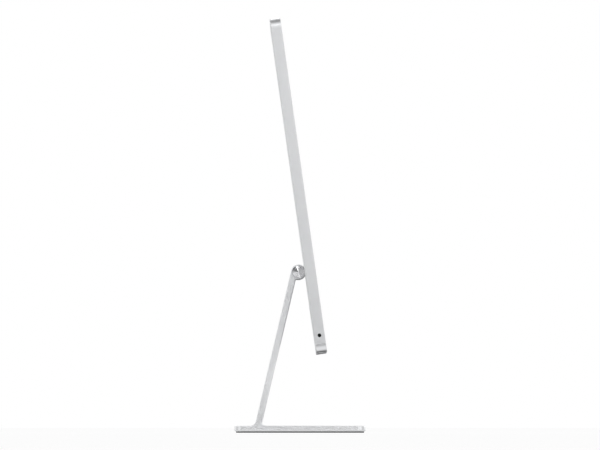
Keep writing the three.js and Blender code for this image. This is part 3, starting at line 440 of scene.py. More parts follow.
def lacquered_board(tree, place):
    """Glass-cloth board under dark green solder mask: satin, with copper tracks 1.5 mm apart just showing."""
    tracks = node(tree, "TexBrick", {
        "Vector": place, "Scale": per(6), "Mortar Size": 0.03,
        "Color1": linear("#11261e"), "Color2": linear("#152e24"), "Mortar": linear("#21483a"),
    }, "Color")
    weave = node(tree, "TexNoise", {"Vector": place, "Scale": per(0.6), "Detail": 1.0})
    return {
        "Base Color": tracks,
        "Roughness": node(tree, "MapRange", {"Value": weave, 1: 0.3, 2: 0.7, 3: 0.3, 4: 0.46}),
        "IOR": 1.52,
        "Normal": node(tree, "Bump", {"Height": weave, "Distance": 0.02 * MM}),
    }


def track_film(tree, place):
    """Polyimide film laminated over copper tracks 2 mm apart: glossy amber, with a stripe for each track."""
    stripes = node(tree, "TexWave", {"Vector": place, "Scale": per(6.3)}, 1, bands_direction="X")
    return {
        "Base Color": node(
            tree, "Mix", {0: stripes, 6: linear("#7a4a14"), 7: linear("#a86c24")}, 2, data_type="RGBA"
        ),
        "Roughness": node(tree, "MapRange", {"Value": stripes, 3: 0.2, 4: 0.3}),
        "IOR": 1.6,
        "Coat Weight": 0.5,
    }


def printed_glass(tree, place, light, dark):
    """Cover glass with ink screen-printed behind it: an even matt tone under a hard clear gloss."""
    ink = node(tree, "TexNoise", {"Vector": place, "Scale": per(60), "Detail": 1.0})
    return {
        "Base Color": node(tree, "Mix", {0: ink, 6: linear(light), 7: linear(dark)}, 2, data_type="RGBA"),
        "Roughness": 0.5,
        "IOR": 1.52,
        "Coat Weight": 1.0,
        "Coat Roughness": 0.03,
        "Coat IOR": 1.52,
    }


def dark_panel(tree, place):
    """Cover glass over a panel that is off: near black with a faint blue cast, and glossy."""
    cast = node(tree, "TexNoise", {"Vector": place, "Scale": per(110), "Detail": 1.0})
    return {
        "Base Color": node(
            tree, "Mix", {0: cast, 6: linear("#070809"), 7: linear("#0b0c0f")}, 2, data_type="RGBA"
        ),
        "Roughness": node(tree, "MapRange", {"Value": cast, 3: 0.1, 4: 0.2}),
        "IOR": 1.52,
    }


def coated_lens(tree, place):
    """Ground glass with a vacuum coating: black with a violet bloom towards its edge."""
    edge = node(tree, "LayerWeight", {"Blend": 0.4}, "Facing")
    return {
        "Base Color": node(
            tree, "Mix", {0: edge, 6: linear("#07070c"), 7: linear("#241a44")}, 2, data_type="RGBA"
        ),
        "Roughness": 0.04,
        "IOR": 1.7,
    }


def vent_cloth(tree, place):
    """Woven polyester: black threads 0.4 mm apart."""
    threads = node(tree, "TexChecker", {"Vector": place, "Scale": per(0.4)}, "Fac")
    return {
        "Base Color": node(
            tree, "Mix", {0: threads, 6: linear("#0b0b0c"), 7: linear("#1e1e1f")}, 2, data_type="RGBA"
        ),
        "Roughness": 0.8,
        "Normal": node(tree, "Bump", {"Height": threads, "Distance": 0.05 * MM}),
    }


def pulp_cone(tree, place):
    """Felted paper pulp, dyed and coated: soft black with short fibres."""
    fibres = node(tree, "TexNoise", {"Vector": place, "Scale": per(1.2), "Detail": 6.0})
    return {
        "Base Color": node(
            tree, "Mix", {0: fibres, 6: linear("#161617"), 7: linear("#2c2b2a")}, 2, data_type="RGBA"
        ),
        "Roughness": 0.75,
        "Normal": node(tree, "Bump", {"Height": fibres, "Distance": 0.06 * MM}),
    }


# The stand's tone is paler than the shell's: partly its own tone, and partly painted light that lifts the
# upright, which this lighting leaves darker.
STAND_ALUMINIUM, SHELL_ALUMINIUM, KEY_ALUMINIUM = [
    finish(f"blasted anodised aluminium, {part}", blasted_aluminium, *tones)
    for part, *tones in (
        ("stand", "#eeeff0", "#e8e9eb", 0.33, 0.39),
        ("shell", "#d9dadb", "#d2d3d5", 0.34, 0.4),
        ("key", "#e3e4e5", "#dcdddf", 0.28, 0.34),
    )
]
SPUN_STEEL = finish("spun polished steel", spun_steel)
MACHINED_STEEL = finish("machined steel", machined_steel)
SPRING_WIRE = finish("oil-tempered spring wire", oiled_spring_wire)
BRONZE = finish("sintered bronze", sintered_bronze)
COPPER = finish("bare copper", bare_copper)
NICKEL = finish("nickel plating", bright_plate, "#c9c6bf")
GOLD = finish("gold plating", bright_plate, "#d9b25f")
SHEET_STEEL = finish("cold-rolled steel sheet", rolled_steel)
BLACK_ABS = finish("black moulded ABS", moulded_plastic, "#131314", "#1b1b1c", 0.4, 0.52)
WHITE_PC = finish("white moulded polycarbonate", moulded_plastic, "#e9e9e6", "#dfdfdb", 0.35, 0.45)
CHIP_EPOXY = finish("moulded epoxy", moulded_plastic, "#222225", "#2b2b2e", 0.45, 0.6)
FOAM = finish("die-cut black foam tape", moulded_plastic, "#171719", "#222224", 0.82, 0.92)
RUBBER = finish("moulded silicone rubber", moulded_rubber)
BOARD = finish("lacquered circuit board", lacquered_board)
FILM = finish("polyimide film", track_film)
BORDER = finish("glass over pale ink", printed_glass, "#e9eaeb", "#e4e5e7")
CHIN = finish("glass over silver ink", printed_glass, "#c8cacd", "#c2c4c8")
PANEL = finish("glass over a dark panel", dark_panel)
LENS = finish("coated lens glass", coated_lens)
CLOTH = finish("woven polyester", vent_cloth)
PULP = finish("felted paper pulp", pulp_cone)

# ---- Housing ----

CORNER_STEPS = 14
TROUGH_R, TROUGH_HALF, TROUGH_WALL = 8.9 * MM, 66 * MM, 1.4 * MM
WINDOW_HALF_W, WINDOW_HALF_H = 25 * MM, 2.6 * MM


def display_outline(inset):
    """The display's rounded rectangle shrunk by inset, about the hinge axis."""
    width, height, radius = DISPLAY_W - 2 * inset, DISPLAY_H - 2 * inset, DISPLAY_CORNER - inset
    return rounded_rectangle(width, height, radius, CORNER_STEPS) + np.array([0, DISPLAY_MIDDLE])


def trough_grid(radius, half_length, skirt):
    """Part of a cylinder about the hinge axis: rows at angles b from the display's depth direction, where
    up = radius sin b and distance forward of the axis = radius cos b, out to where it meets the skirt."""
    limit = math.acos((AXIS_TO_BACK + skirt) / radius)
    window = math.asin(WINDOW_HALF_H / radius)
    b = np.concatenate([
        np.linspace(-limit, -window, 6), np.linspace(-window, window, 5)[1:-1], np.linspace(window, limit, 6),
    ])[:, None]
    x = np.array([-half_length, -WINDOW_HALF_W, WINDOW_HALF_W, half_length])
    return on_display(x + 0 * b, radius * np.cos(b) - AXIS_TO_BACK + 0 * x, radius * np.sin(b) + 0 * x)


def trough(skin):
    """The round-bottomed groove that the barrel turns in, with a window for the hinge arm: an outer and an
    inner part-cylinder, their end walls, and the wall round the window."""
    outer = trough_grid(TROUGH_R, TROUGH_HALF, 0)
    inner = trough_grid(TROUGH_R + TROUGH_WALL, TROUGH_HALF + TROUGH_WALL, BACK_WALL)
    first, last = 5, 9  # the rows of points along the window's two edges
    keep = np.ones((len(outer) - 1, 3), bool)
    keep[first:last, 1] = False
    rims = []
    for rows in (outer, inner):
        skin.grid(rows, keep=keep)
        for column in (0, 3):
            skin.add(rows[:, column], [list(range(len(rows)))])
        edges = rows[first:last + 1]
        rims.append(np.concatenate([edges[:, 1], edges[::-1, 2]]))
    skin.grid(np.stack(rims), around=True)


def trough_mouth(radius, half_length, skirt):
    """Where the trough meets the back: a rectangle with the trough's own corner points."""
    up = math.sqrt(radius ** 2 - (AXIS_TO_BACK + skirt) ** 2)
    x = np.array([-half_length, -WINDOW_HALF_W, WINDOW_HALF_W, half_length])
    low, high = np.stack([x, np.full(4, -up)], 1), np.stack([x[::-1], np.full(4, up)], 1)
    return np.concatenate([low, high])


def back_openings():
    """Each round or slotted opening in the back: its outline for a growth g, and its place along the row."""
    gap = 0.3 * MM
    sockets = [(lambda g: slot_outline(USB_W + gap + 2 * g, USB_H + gap + 2 * g), x) for x in USB_X]
    inlet = (lambda g: circle(INLET_R + gap + g, 64), 0)
    button = (lambda g: circle(BUTTON_R + gap + g, 64), BUTTON_X)
    return [*sockets, inlet, button]


def housing():
    """A tub in one piece. Its side is the outline carried along an edge profile: round the rear edge, up the
    side, round the front edge, over the rim, down to the glass ledge and down the inner wall. The back
    and the floor inside it are flat regions filled round their openings."""
    skin = Skin()
    rear_steps = 6
    profile = np.concatenate([
        rounding(0, REAR_ROUND, REAR_ROUND, rear_steps),
        rounding(DISPLAY_DEPTH, DISPLAY_DEPTH - FRONT_ROUND, FRONT_ROUND)[::-1],
        [(RIM - RIM_CHAMFER, DISPLAY_DEPTH), (RIM, DISPLAY_DEPTH - RIM_CHAMFER), (RIM, LEDGE)],
        [(SIDE_WALL, LEDGE), (SIDE_WALL, BACK_WALL)],
    ])
    rows = loops_on_display(display_outline, profile)
    keep = np.ones((len(profile) - 1, rows.shape[1]), bool)
    left_side, bottom_side = 2 * CORNER_STEPS + 1, 3 * CORNER_STEPS + 2
    for flat_row in (rear_steps, len(profile) - 2):
        keep[flat_row, [left_side, bottom_side]] = False
    skin.grid(rows, around=True, keep=keep)
    trough(skin)

    openings = back_openings()
    at_row = lambda loop, x: loop + np.array([x, PORT_ROW])
    mouths = [at_row(outline(MOUTH_ROUND), x) for outline, x in openings]
    inner = [at_row(outline(0), x) for outline, x in openings]
    narrow = trough_mouth(TROUGH_R, TROUGH_HALF, 0)
    skin.flat(display_plane(0), display_outline(REAR_ROUND), [*mouths, narrow])
    wide = trough_mouth(TROUGH_R + TROUGH_WALL, TROUGH_HALF + TROUGH_WALL, BACK_WALL)
    skin.flat(display_plane(BACK_WALL), display_outline(SIDE_WALL), [*inner, wide])
    for outline, x in openings:
        rows = [*rounding(0, MOUTH_ROUND, MOUTH_ROUND, 4), (0, BACK_WALL)]
        skin.grid(loops_on_display(outline, rows, x, PORT_ROW), around=True)
    side_openings(skin)
    skin.piece("rear_shell", [SHELL_ALUMINIUM], "display", ["rear_housing"])


def side_openings(skin):
    """The bottom's flat strip with its vent slots and the left side's with the headphone hole. Each is drawn
    as (along, depth), once on the outside and once on the inner wall, with a chamfered wall between."""
    vents = [
        side * (start + VENT_W / 2 + i * VENT_PITCH)
        for side in (-1, 1) for start, count in VENT_ROWS for i in range(count)
    ]
    bottom_span = (-DISPLAY_W / 2 + DISPLAY_CORNER, DISPLAY_W / 2 - DISPLAY_CORNER)
    left_span = (DISPLAY_BOTTOM + DISPLAY_CORNER, DISPLAY_TOP - DISPLAY_CORNER)
    bottom = lambda inset: lambda p: on_display(p[:, 0], p[:, 1], DISPLAY_BOTTOM + inset)
    left = lambda inset: lambda p: on_display(-DISPLAY_W / 2 + inset, p[:, 1], p[:, 0])
    slot = lambda grow: slot_outline(VENT_W + 2 * grow, VENT_H + 2 * grow, 6)
    hole = lambda grow: circle(JACK_R + grow, 40)
    for place, (start, end), outline, centres, edge in (
        (bottom, bottom_span, slot, vents, 0.15 * MM),
        (left, left_span, hole, [JACK_UP], 0.12 * MM),
    ):
        strips = [
            np.array([(start, low), (end, low), (end, high), (start, high)])
            for low, high in ((REAR_ROUND, DISPLAY_DEPTH - FRONT_ROUND), (BACK_WALL, LEDGE))
        ]
        at = [np.array([c, DISPLAY_DEPTH / 2]) for c in centres]
        skin.flat(place(0), strips[0], [outline(edge) + c for c in at])
        skin.flat(place(SIDE_WALL), strips[1], [outline(0) + c for c in at])
        for c in at:
            rows = [*rounding(0, edge, edge, 3), (0, SIDE_WALL)]
            skin.grid(np.stack([place(depth)(outline(grow) + c) for grow, depth in rows]), around=True)


def vent_cloths():
    """A thin strip of cloth behind each row of vent slots: a rounded rectangle with some thickness."""
    for side, name in ((-1, "left"), (1, "right")):
        for (start, count), row in zip(VENT_ROWS, ("speaker", "intake")):
            length = count * VENT_PITCH + 2 * MM
            middle = side * (start + count * VENT_PITCH / 2 - 1 * MM)
            outline = lambda inset: rounded_rectangle(length - 2 * inset, 4.4 * MM - 2 * inset, 1 * MM, 4)
            place = lambda p, rise: on_display(
                p[:, 0] + middle, p[:, 1] + DISPLAY_DEPTH / 2, DISPLAY_BOTTOM + SIDE_WALL + 0.02 * MM + rise
            )
            profile = [(0.05 * MM, 0), (0, 0.05 * MM), (0, 0.3 * MM)]
            slab(f"vent_cloth_{row}_{name}", outline, profile, place, CLOTH, "display")


def slab(name, outline, profile, place, material, body, replaces=()):
    """An outline carried along an edge profile of (inset, along) rows and closed flat at both ends."""
    skin = Skin()
    skin.closed(np.stack([place(outline(inset), along) for inset, along in profile]))
    skin.piece(name, [material], body, replaces)


# ---- Cover glass ----


def front_glass():
    """The display's outline carried round the glass edge, and a front filled as separate areas: pale
    border, dark picture, silver chin, camera window and light sensor window."""
    skin = Skin()
    inset = RIM + GLASS_GAP
    outline = lambda more: with_side_points(display_outline(inset + more), [CHIN_TOP])
    profile = np.concatenate([
        [(GLASS_ROUND, GLASS_BACK), (0, GLASS_BACK + GLASS_ROUND)],
        rounding(GLASS_FRONT, GLASS_FRONT - GLASS_ROUND, GLASS_ROUND, 3)[::-1],
    ])
    skin.grid(loops_on_display(outline, profile), around=True)
    edge = outline(GLASS_ROUND)
    skin.flat(display_plane(GLASS_BACK), edge)

    front = display_plane(GLASS_FRONT)
    picture = rounded_rectangle(PICTURE_W, PICTURE_TOP - PICTURE_BOTTOM, 1.5 * MM, 6)
    picture = picture + np.array([0, (PICTURE_TOP + PICTURE_BOTTOM) / 2])
    above = (PICTURE_TOP + DISPLAY_TOP - RIM) / 2
    lens, sensor = circle(2.3 * MM, 40, 0, above), circle(0.9 * MM, 24, 14 * MM, above)
    skin.flat(front, edge[edge[:, 1] >= CHIN_TOP - 1e-9], [picture, lens, sensor], mark=0)
    skin.flat(front, picture, mark=1)
    chin = edge[edge[:, 1] <= CHIN_TOP + 1e-9]
    skin.flat(front, chin, mark=2)
    skin.flat(front, lens, mark=3)
    skin.flat(front, sensor, mark=3)
    skin.piece("front_glass", [BORDER, PANEL, CHIN, LENS], "display", ["cover_glass"])


# ---- Stand ----

AXIS = np.array([hinge.y, hinge.z])
OUT = np.array([math.cos(LEAN), math.sin(LEAN)])
ALONG = np.array([-math.sin(LEAN), math.cos(LEAN)])


def bend(centre, radius, start, end, steps, metal_outside):
    """Points along an arc, and unit normals that point into the metal."""
    a = np.linspace(start, end, steps + 1)
    ray = np.stack([np.cos(a), np.sin(a)], 1)
    return centre + radius * ray, ray if metal_outside else -ray


def upright_outline():
    """The upright seen from its right, as (back, up), in four bends joined by straight faces: the fillet
    behind, the barrel in three stretches with the arm's slot as the middle one, the notch under the
    barrel and the fillet in front. Returns the points, the inward normals and each bend's first index."""
    def clear_of_face(distance, height):
        return np.array([AXIS[0] + (distance + (AXIS[1] - height) * OUT[1]) / OUT[0], height])

    front = BARREL_R - UPRIGHT
    across = front - NOTCH_FILLET
    notch = AXIS + OUT * across - ALONG * math.sqrt((BARREL_R + NOTCH_FILLET) ** 2 - across ** 2)
    to_notch = math.atan2(notch[1] - AXIS[1], notch[0] - AXIS[0]) % TAU
    forward = math.pi - REST_TILT
    slot = forward - math.radians(40), forward + math.radians(41)
    bends = [
        bend(clear_of_face(BARREL_R + REAR_FILLET, FOOT_TOP + REAR_FILLET),
             REAR_FILLET, -TAU / 4, LEAN - math.pi, 10, True),
        bend(AXIS, BARREL_R, LEAN, slot[0], 26, False),
        bend(AXIS, BARREL_R, *slot, 14, False),
        bend(AXIS, BARREL_R, slot[1], to_notch, 12, False),
        bend(notch, NOTCH_FILLET, to_notch - math.pi, LEAN, 6, True),
        bend(clear_of_face(front - FRONT_FILLET, FOOT_TOP + FRONT_FILLET),
             FRONT_FILLET, LEAN, -TAU / 4, 8, True),
    ]
    joined = [0, 0, 1, 1, 1, 0]  # a bend that starts where the last one ended drops its first point
    points = np.concatenate([p[skip:] for (p, _), skip in zip(bends, joined)])
    normals = np.concatenate([n[skip:] for (_, n), skip in zip(bends, joined)])
    starts = np.cumsum([0] + [len(p) - skip for (p, _), skip in zip(bends, joined)])
    return points, normals, starts


def foot(skin, rear, front):
    """The foot's plan carried round its edge. Between `rear` and `front`, where the upright stands, its top
    is left open and the rounding along its two sides gives way to the upright's."""
    steps = 6
    profile = np.concatenate([
        rounding(FOOT_BOTTOM, FOOT_BOTTOM + BOTTOM_ROUND, BOTTOM_ROUND, steps),
        rounding(FOOT_TOP, FOOT_TOP - EDGE, EDGE, steps)[::-1],
    ])
    plan = lambda inset: with_side_points(
        rounded_rectangle(STAND_W - 2 * inset, FOOT_D - 2 * inset, FOOT_CORNER - inset, 12), [front, rear]
    )
    raised = lambda p, height: np.column_stack([p, np.full(len(p), height)])
    rows = np.stack([raised(plan(inset), height) for inset, height in profile])
    columns = rows.shape[1]
    half = columns // 2
    keep = np.ones((len(profile) - 1, columns), bool)
    keep[steps + 1:, [half - 2, columns - 2]] = False
    skin.grid(rows, around=True, keep=keep)
    skin.flat(lambda p: raised(p, FOOT_BOTTOM), rows[0][:, :2])
    top = rows[-1][:, :2]
    slot = np.array([-ARM_SLOT_HALF, ARM_SLOT_HALF])
    behind = np.concatenate([top[-1:], top[:half - 1], np.column_stack([slot, [rear, rear]])])
    before = np.concatenate([top[half - 1:-1], np.column_stack([slot[::-1], [front, front]])])
    for region in (behind, before):
        skin.flat(lambda p: raised(p, FOOT_TOP), region)


def upright(skin, points, normals, starts):
    """The upright's outline carried across its width and round its two side edges, where a point moves in
    along its normal by EDGE (1 - cos a) and out by EDGE sin a. The barrel is open over the arm's slot."""
    turn = np.linspace(0, TAU / 4, 7)
    inset = EDGE * (1 - np.cos(turn))
    out = STAND_W / 2 - EDGE + EDGE * np.sin(turn)
    x = np.concatenate([-out[::-1], [-ARM_SLOT_HALF, ARM_SLOT_HALF], out])
    move = np.concatenate([inset[::-1], [0, 0], inset])
    side = points[:, None] + normals[:, None] * move[:, None]
    across = np.broadcast_to(x[:, None], side.shape[:2] + (1,))
    keep = np.ones((len(points) - 1, len(x) - 1), bool)
    flat = slice(len(turn) - 1, len(turn) + 2)
    keep[[starts[1] - 1, starts[5] - 1], flat] = False
    slot = slice(starts[2] - 1, starts[3] - 1)
    keep[slot, len(turn)] = False
    skin.grid(np.concatenate([across, side], 2), keep=keep)
    return slot


def cable_hole(skin, points, starts):
    """The upright's two flat faces filled round the cable hole, and the hole's wall between them: a straight
    bore with both ends rounded over."""
    middle = BARREL_R - UPRIGHT / 2
    rise = (CABLE_HOLE_UP - hinge.z - middle * OUT[1]) / ALONG[1]
    w, s = STAND_W / 2 - EDGE, ARM_SLOT_HALF
    ends = {
        BARREL_R: (points[starts[1] - 1], points[starts[1]]),
        BARREL_R - UPRIGHT: (points[starts[5]], points[starts[5] - 1]),
    }
    place = lambda p, distance: np.column_stack([p[:, 0], AXIS + distance * OUT + p[:, 1:] * ALONG])
    rows = []
    for distance, sign in ((BARREL_R, -1), (BARREL_R - UPRIGHT, 1)):
        low, high = [(end - AXIS) @ ALONG for end in ends[distance]]
        face = np.array([(x, low) for x in (-w, -s, s, w)] + [(x, high) for x in (w, s, -s, -w)])
        mouth = circle(CABLE_HOLE_R + CABLE_HOLE_ROUND, 96, 0, rise)
        skin.flat(lambda p: place(p, distance), face, [mouth])
        edge = [(CABLE_HOLE_R + grow, distance + sign * depth)
                for grow, depth in rounding(0, CABLE_HOLE_ROUND, CABLE_HOLE_ROUND, 5)]
        rows.append(edge if sign < 0 else edge[::-1])
    wall = [place(circle(radius, 96, 0, rise), distance) for radius, distance in [*rows[0], *rows[1]]]
    skin.grid(np.stack(wall), around=True)


def barrel_ends(skin, points, normals, starts, slot):
    """The upright's flat sides with a stepped counterbore for each cap, the bore between them, and the
    walls of the arm's slot through the barrel's wall."""
    half, lip = STAND_W / 2, 0.1 * MM
    ray = (points[starts[1]:starts[4]] - AXIS) / BARREL_R
    a = np.unwrap(np.arctan2(ray[:, 1], ray[:, 0]))
    rest = np.linspace(a[-1], a[0] + TAU, 22)[1:-1]
    ray = np.concatenate([ray, np.stack([np.cos(rest), np.sin(rest)], 1)])
    ring = lambda x, radius: np.column_stack([np.full(len(ray), x), AXIS + radius * ray])
    outline = points + normals * EDGE
    recess = CAP_R + 0.1 * MM
    for side in (-1, 1):
        on_side = lambda p: np.column_stack([np.full(len(p), side * half), p])
        skin.flat(on_side, outline, [ring(0, recess + lip)[:, 1:]])
        steps = [(recess + lip, 0), (recess, lip), (recess, CAP_DEPTH), (BORE_R, CAP_DEPTH)]
        skin.grid(np.stack([ring(side * (half - depth), radius) for radius, depth in steps]), around=True)
    opened = slice(slot.start - starts[1], slot.stop - starts[1])
    end = half - CAP_DEPTH
    bore = np.stack([ring(x, BORE_R) for x in (-end, -ARM_SLOT_HALF, ARM_SLOT_HALF, end)])
    keep = np.ones((3, len(ray)), bool)
    keep[1, opened] = False
    skin.grid(bore, around=True, keep=keep)
    span = slice(opened.start, opened.stop + 1)
    rims = [
        np.concatenate([ring(-ARM_SLOT_HALF, radius)[span], ring(ARM_SLOT_HALF, radius)[span][::-1]])
        for radius in (BARREL_R, BORE_R)
    ]
    skin.grid(np.stack(rims), around=True)


def stand():
    """The bent stand in one piece: foot, upright and barrel."""
    skin = Skin()
    points, normals, starts = upright_outline()
    foot(skin, points[0, 0], points[-1, 0])
    slot = upright(skin, points, normals, starts)
    cable_hole(skin, points, starts)
    barrel_ends(skin, points, normals, starts, slot)
    skin.piece("bent_stand", [STAND_ALUMINIUM], "stand", ["stand"])


def foot_pad():
    """The foot's plan, set in 1.7 mm, with a rounded lower edge."""
    def outline(extra):
        e = 1.7 * MM + extra
        return rounded_rectangle(STAND_W - 2 * e, FOOT_D - 2 * e, FOOT_CORNER - e, 12)
    profile = [*rounding(0, 0.5 * MM, 0.5 * MM, 4), (0, FOOT_BOTTOM - 0.02 * MM)]
    place = lambda p, up: np.column_stack([p, np.full(len(p), up)])
    slab("foot_pad_rubber", outline, profile, place, RUBBER, "stand", ["foot_pad"])


def end_caps():
    """A turned disc in each end of the barrel: a very shallow cone inside a narrow chamfer, with a spigot
    behind it. Its map runs out from the middle and round, so the turning rings follow it."""
    for side, name in ((-1, "left"), (1, "right")):
        face, chamfer, middle = -0.1 * MM, 0.3 * MM, 0.02 * MM
        radii = np.linspace(middle, CAP_R - chamfer, 9)
        cone = np.stack([radii, face + CAP_RISE * (1 - radii / CAP_R)], 1)
        spigot = BORE_R - 0.2 * MM
        step, end = face - 2.2 * MM, face - 5.2 * MM
        profile = [*cone, (CAP_R, face - chamfer), (CAP_R, step), (spigot, step), (spigot, end),
                   (middle, end)]
        skin = Skin()
        skin.closed(turned_about(profile, 96, along_hinge(side)))
        replaced = [f"hinge_cap_{name}"]
        cap = skin.piece(f"end_cap_{name}", [SPUN_STEEL], "stand", replaced)
        ring_map(cap.data, AXIS)


def ring_map(mesh, centre):
    """A map about an x axis: U is the distance from the centre over 10 mm and V the turn in eighths. A corner
    takes the turn nearest to its face's middle, so that no face spans the join."""
    co = np.zeros(len(mesh.vertices) * 3)
    mesh.vertices.foreach_get("co", co)
    flat = co.reshape(-1, 3)[:, 1:] - centre
    corner = np.zeros(len(mesh.loops), int)
    mesh.loops.foreach_get("vertex_index", corner)
    sides = np.zeros(len(mesh.polygons), int)
    mesh.polygons.foreach_get("loop_total", sides)
    middles = np.zeros(len(mesh.polygons) * 3)
    mesh.polygons.foreach_get("center", middles)
    middles = np.repeat(middles.reshape(-1, 3)[:, 1:] - centre, sides, axis=0)
    turn = np.arctan2(flat[corner, 1], flat[corner, 0]) / TAU
    near = np.arctan2(middles[:, 1], middles[:, 0]) / TAU
    turn -= np.round(turn - near)
    chart = np.stack([np.hypot(*flat[corner].T) / (10 * MM), turn * 8], 1)
    mesh.uv_layers.new(name="rings").data.foreach_set("uv", chart.ravel())


# ---- Sockets and button ----


def usb_ports():
    """Each port: a pressed shell, the slot outline carried over a rounded lip and down inside, a tongue, and
    two rows of contacts on it."""
    lip, wall, length, start = 0.12 * MM, 0.3 * MM, 7.8 * MM, 0.3 * MM
    for i, x in enumerate(USB_X):
        skin = Skin()
        shell = lambda inset: slot_outline(USB_W - 2 * inset, USB_H - 2 * inset)
        blade = lambda inset: rounded_rectangle(
            6.7 * MM - 2 * inset, 0.7 * MM - 2 * inset, 0.3 * MM - inset, 3
        )
        end = start + length
        solids = [
            (shell, [(0, end), *rounding(start, start + lip, lip, 3)[::-1], (wall - lip, start),
                     (wall, start + lip), (wall, end - 1 * MM)], 0),
            (blade, [(0.15 * MM, start + 1 * MM), (0, start + 1.15 * MM), (0, end - 1.05 * MM)], 1),
        ]
        for outline, profile, mark in solids:
            skin.closed(loops_on_display(outline, profile, x, PORT_ROW), mark)
        for side in (-1, 1):
            for k in range(8):
                finger(skin, x + (k - 3.5) * 0.7 * MM, PORT_ROW + side * 0.37 * MM, start + 1.6 * MM, 2)
        finishes, replaced = [NICKEL, BLACK_ABS, GOLD], [f"usb_socket_{i + 1}"]
        skin.piece(f"usb_port_{i + 1}", finishes, "display", replaced)


def finger(skin, x, up, depth, mark):
    """A contact 0.4 mm wide, 0.06 mm thick and 4 mm long, with tapered ends: a rectangle in four sizes."""
    corner = np.array([(-1, -1), (1, -1), (1, 1), (-1, 1)]) * np.array([0.2 * MM, 0.03 * MM])
    steps = [(0.4, 0), (1, 0.15 * MM), (1, 3.85 * MM), (0.4, 4 * MM)]
    skin.closed(
        np.stack([on_display(corner[:, 0] * f + x, depth + d, corner[:, 1] * f + up) for f, d in steps]), mark
    )


def power_socket():
    """A round cup turned about its own axis, a plated ring inside its mouth, and five turned contacts."""
    wall, recess, start, sides = 1 * MM, 5.5 * MM, 0.3 * MM, 64
    place, inner, tiny = into_display(0, PORT_ROW), INLET_R - 1 * MM, 0.01 * MM
    floor = start + recess
    end = floor + wall
    soft, lip = 0.5 * MM, 0.2 * MM
    cup = Skin()
    profile = [
        (tiny, floor), (inner - soft, floor), (inner, floor - soft), (inner, start + 0.25 * MM),
        (inner + lip, start), (INLET_R - lip, start), (INLET_R, start + lip), (INLET_R, end), (tiny, end),
    ]
    cup.closed(turned_about(profile, sides, place))
    cup.piece("power_cup", [BLACK_ABS], "display", ["power_inlet"])
    ring = Skin()
    thin = inner - 0.3 * MM
    rows = [(inner, 0.35), (thin, 0.5), (thin, 1.4), (inner, 1.5), (inner, 0.35)]
    rows = [(radius - 0.02 * MM, start + along * MM) for radius, along in rows]
    ring.grid(turned_about(rows, sides, place), around=True)
    ring.piece("power_mouth_ring", [NICKEL], "display")
    pins = Skin()
    tip, root = floor - 0.6 * MM, floor - 0.02 * MM
    for x, radius in ((0, 0.9), (-2.6, 0.7), (2.6, 0.7), (-4.8, 0.7), (4.8, 0.7)):
        r = radius * MM
        nose = [(0.6 * r, tip + 0.05 * MM), (0.9 * r, tip + 0.2 * MM), (r, tip + 0.4 * MM)]
        profile = [(tiny, tip), *nose, (r, root), (tiny, root)]
        pins.closed(turned_about(profile, 24, into_display(x * MM, PORT_ROW)))
    pins.piece("power_contacts", [GOLD], "display")


def power_key():
    """A turned key: a shallow dish, a soft rounded edge, a flange that keeps it in, and a stem. The dish's
    depth falls with the square of the radius, and the edge is a quarter circle."""
    proud, soft, tiny = 0.2 * MM, 0.35 * MM, 0.01 * MM
    radii = np.linspace(tiny, BUTTON_R - soft, 10)
    dish = np.stack([radii, 0.18 * MM * (1 - (radii / BUTTON_R) ** 2) - proud], 1)
    a = np.linspace(0, TAU / 4, 6)[1:]
    edge = np.stack([BUTTON_R - soft + soft * np.sin(a), soft * (1 - np.cos(a)) - proud], 1)
    flange, stem = 8.6 * MM, 1.6 * MM
    under, below, end = 1.9 * MM, 2.7 * MM, 3.7 * MM
    profile = [*dish, *edge, (BUTTON_R, under), (flange, under), (flange, below),
               (stem, below), (stem, end), (tiny, end)]
    skin = Skin()
    skin.closed(turned_about(profile, 96, into_display(BUTTON_X, PORT_ROW)))
    skin.piece("power_key", [KEY_ALUMINIUM], "power_button", ["power_button"])


def headphone_socket():
    """A moulded block with a bore, and a plated sleeve just inside it."""
    length, depth, height = 12.5 * MM, 6 * MM, 9 * MM
    start = SIDE_WALL + 0.3 * MM - DISPLAY_W / 2
    place = lambda p, out: on_display(start + out, DISPLAY_DEPTH / 2 + p[:, 0], JACK_UP + p[:, 1])
    block = lambda inset: rounded_rectangle(depth - 2 * inset, height - 2 * inset, 0.6 * MM - inset, 4)
    bore, face = circle(1.8 * MM, 40), 0.2 * MM
    skin = Skin()
    rows = np.stack([place(block(inset), out) for inset, out in ((face, 0), (0, face), (0, length))])
    skin.grid(rows, around=True)
    skin.add(rows[-1], [list(range(rows.shape[1]))])
    skin.flat(lambda p: place(p, 0), block(face), [bore])
    wall = np.stack([place(bore, out) for out in (0, length - 1.5 * MM)])
    skin.grid(wall, around=True)
    skin.add(wall[-1], [list(range(len(bore)))])
    skin.piece("headphone_block", [BLACK_ABS], "display", ["headphone_jack"])
    sleeve = Skin()
    rows = [(1.78, 3.5), (1.6, 3.6), (1.6, 8), (1.78, 8), (1.78, 3.5)]
    sleeve.grid(np.stack([place(circle(r * MM, 40), out * MM) for r, out in rows]), around=True)
    sleeve.piece("headphone_sleeve", [NICKEL], "display")


# ---- Pieces that keep their CAD shape: each takes the finish of its kind ----

FINISHES = [
    (MACHINED_STEEL, "hinge_arm", "hinge_shaft", "flange_screw"),
    (SPRING_WIRE, "torsion_spring"),
    (BRONZE, "shaft_bush"),
    (FOAM, "glass_adhesive"),
    (PANEL, "lcd_cell"),
    (WHITE_PC, "backlight_unit"),
    (SHEET_STEEL, "panel_tray", "chin_weight"),
    (LENS, "camera_lens"),
    (BOARD, "microphone_board", "logic_board", "port_board", "switch_board"),
    (CHIP_EPOXY, "processor"),
    (COPPER, "heat_pipe", "fin_stack"),
    (BLACK_ABS, "camera_module", "fan_case", "fan_rotor", "speaker_box"),
    (PULP, "speaker_cone"),
    (NICKEL, "clock_cell"),
    (FILM, "display_cable", "antenna"),
]


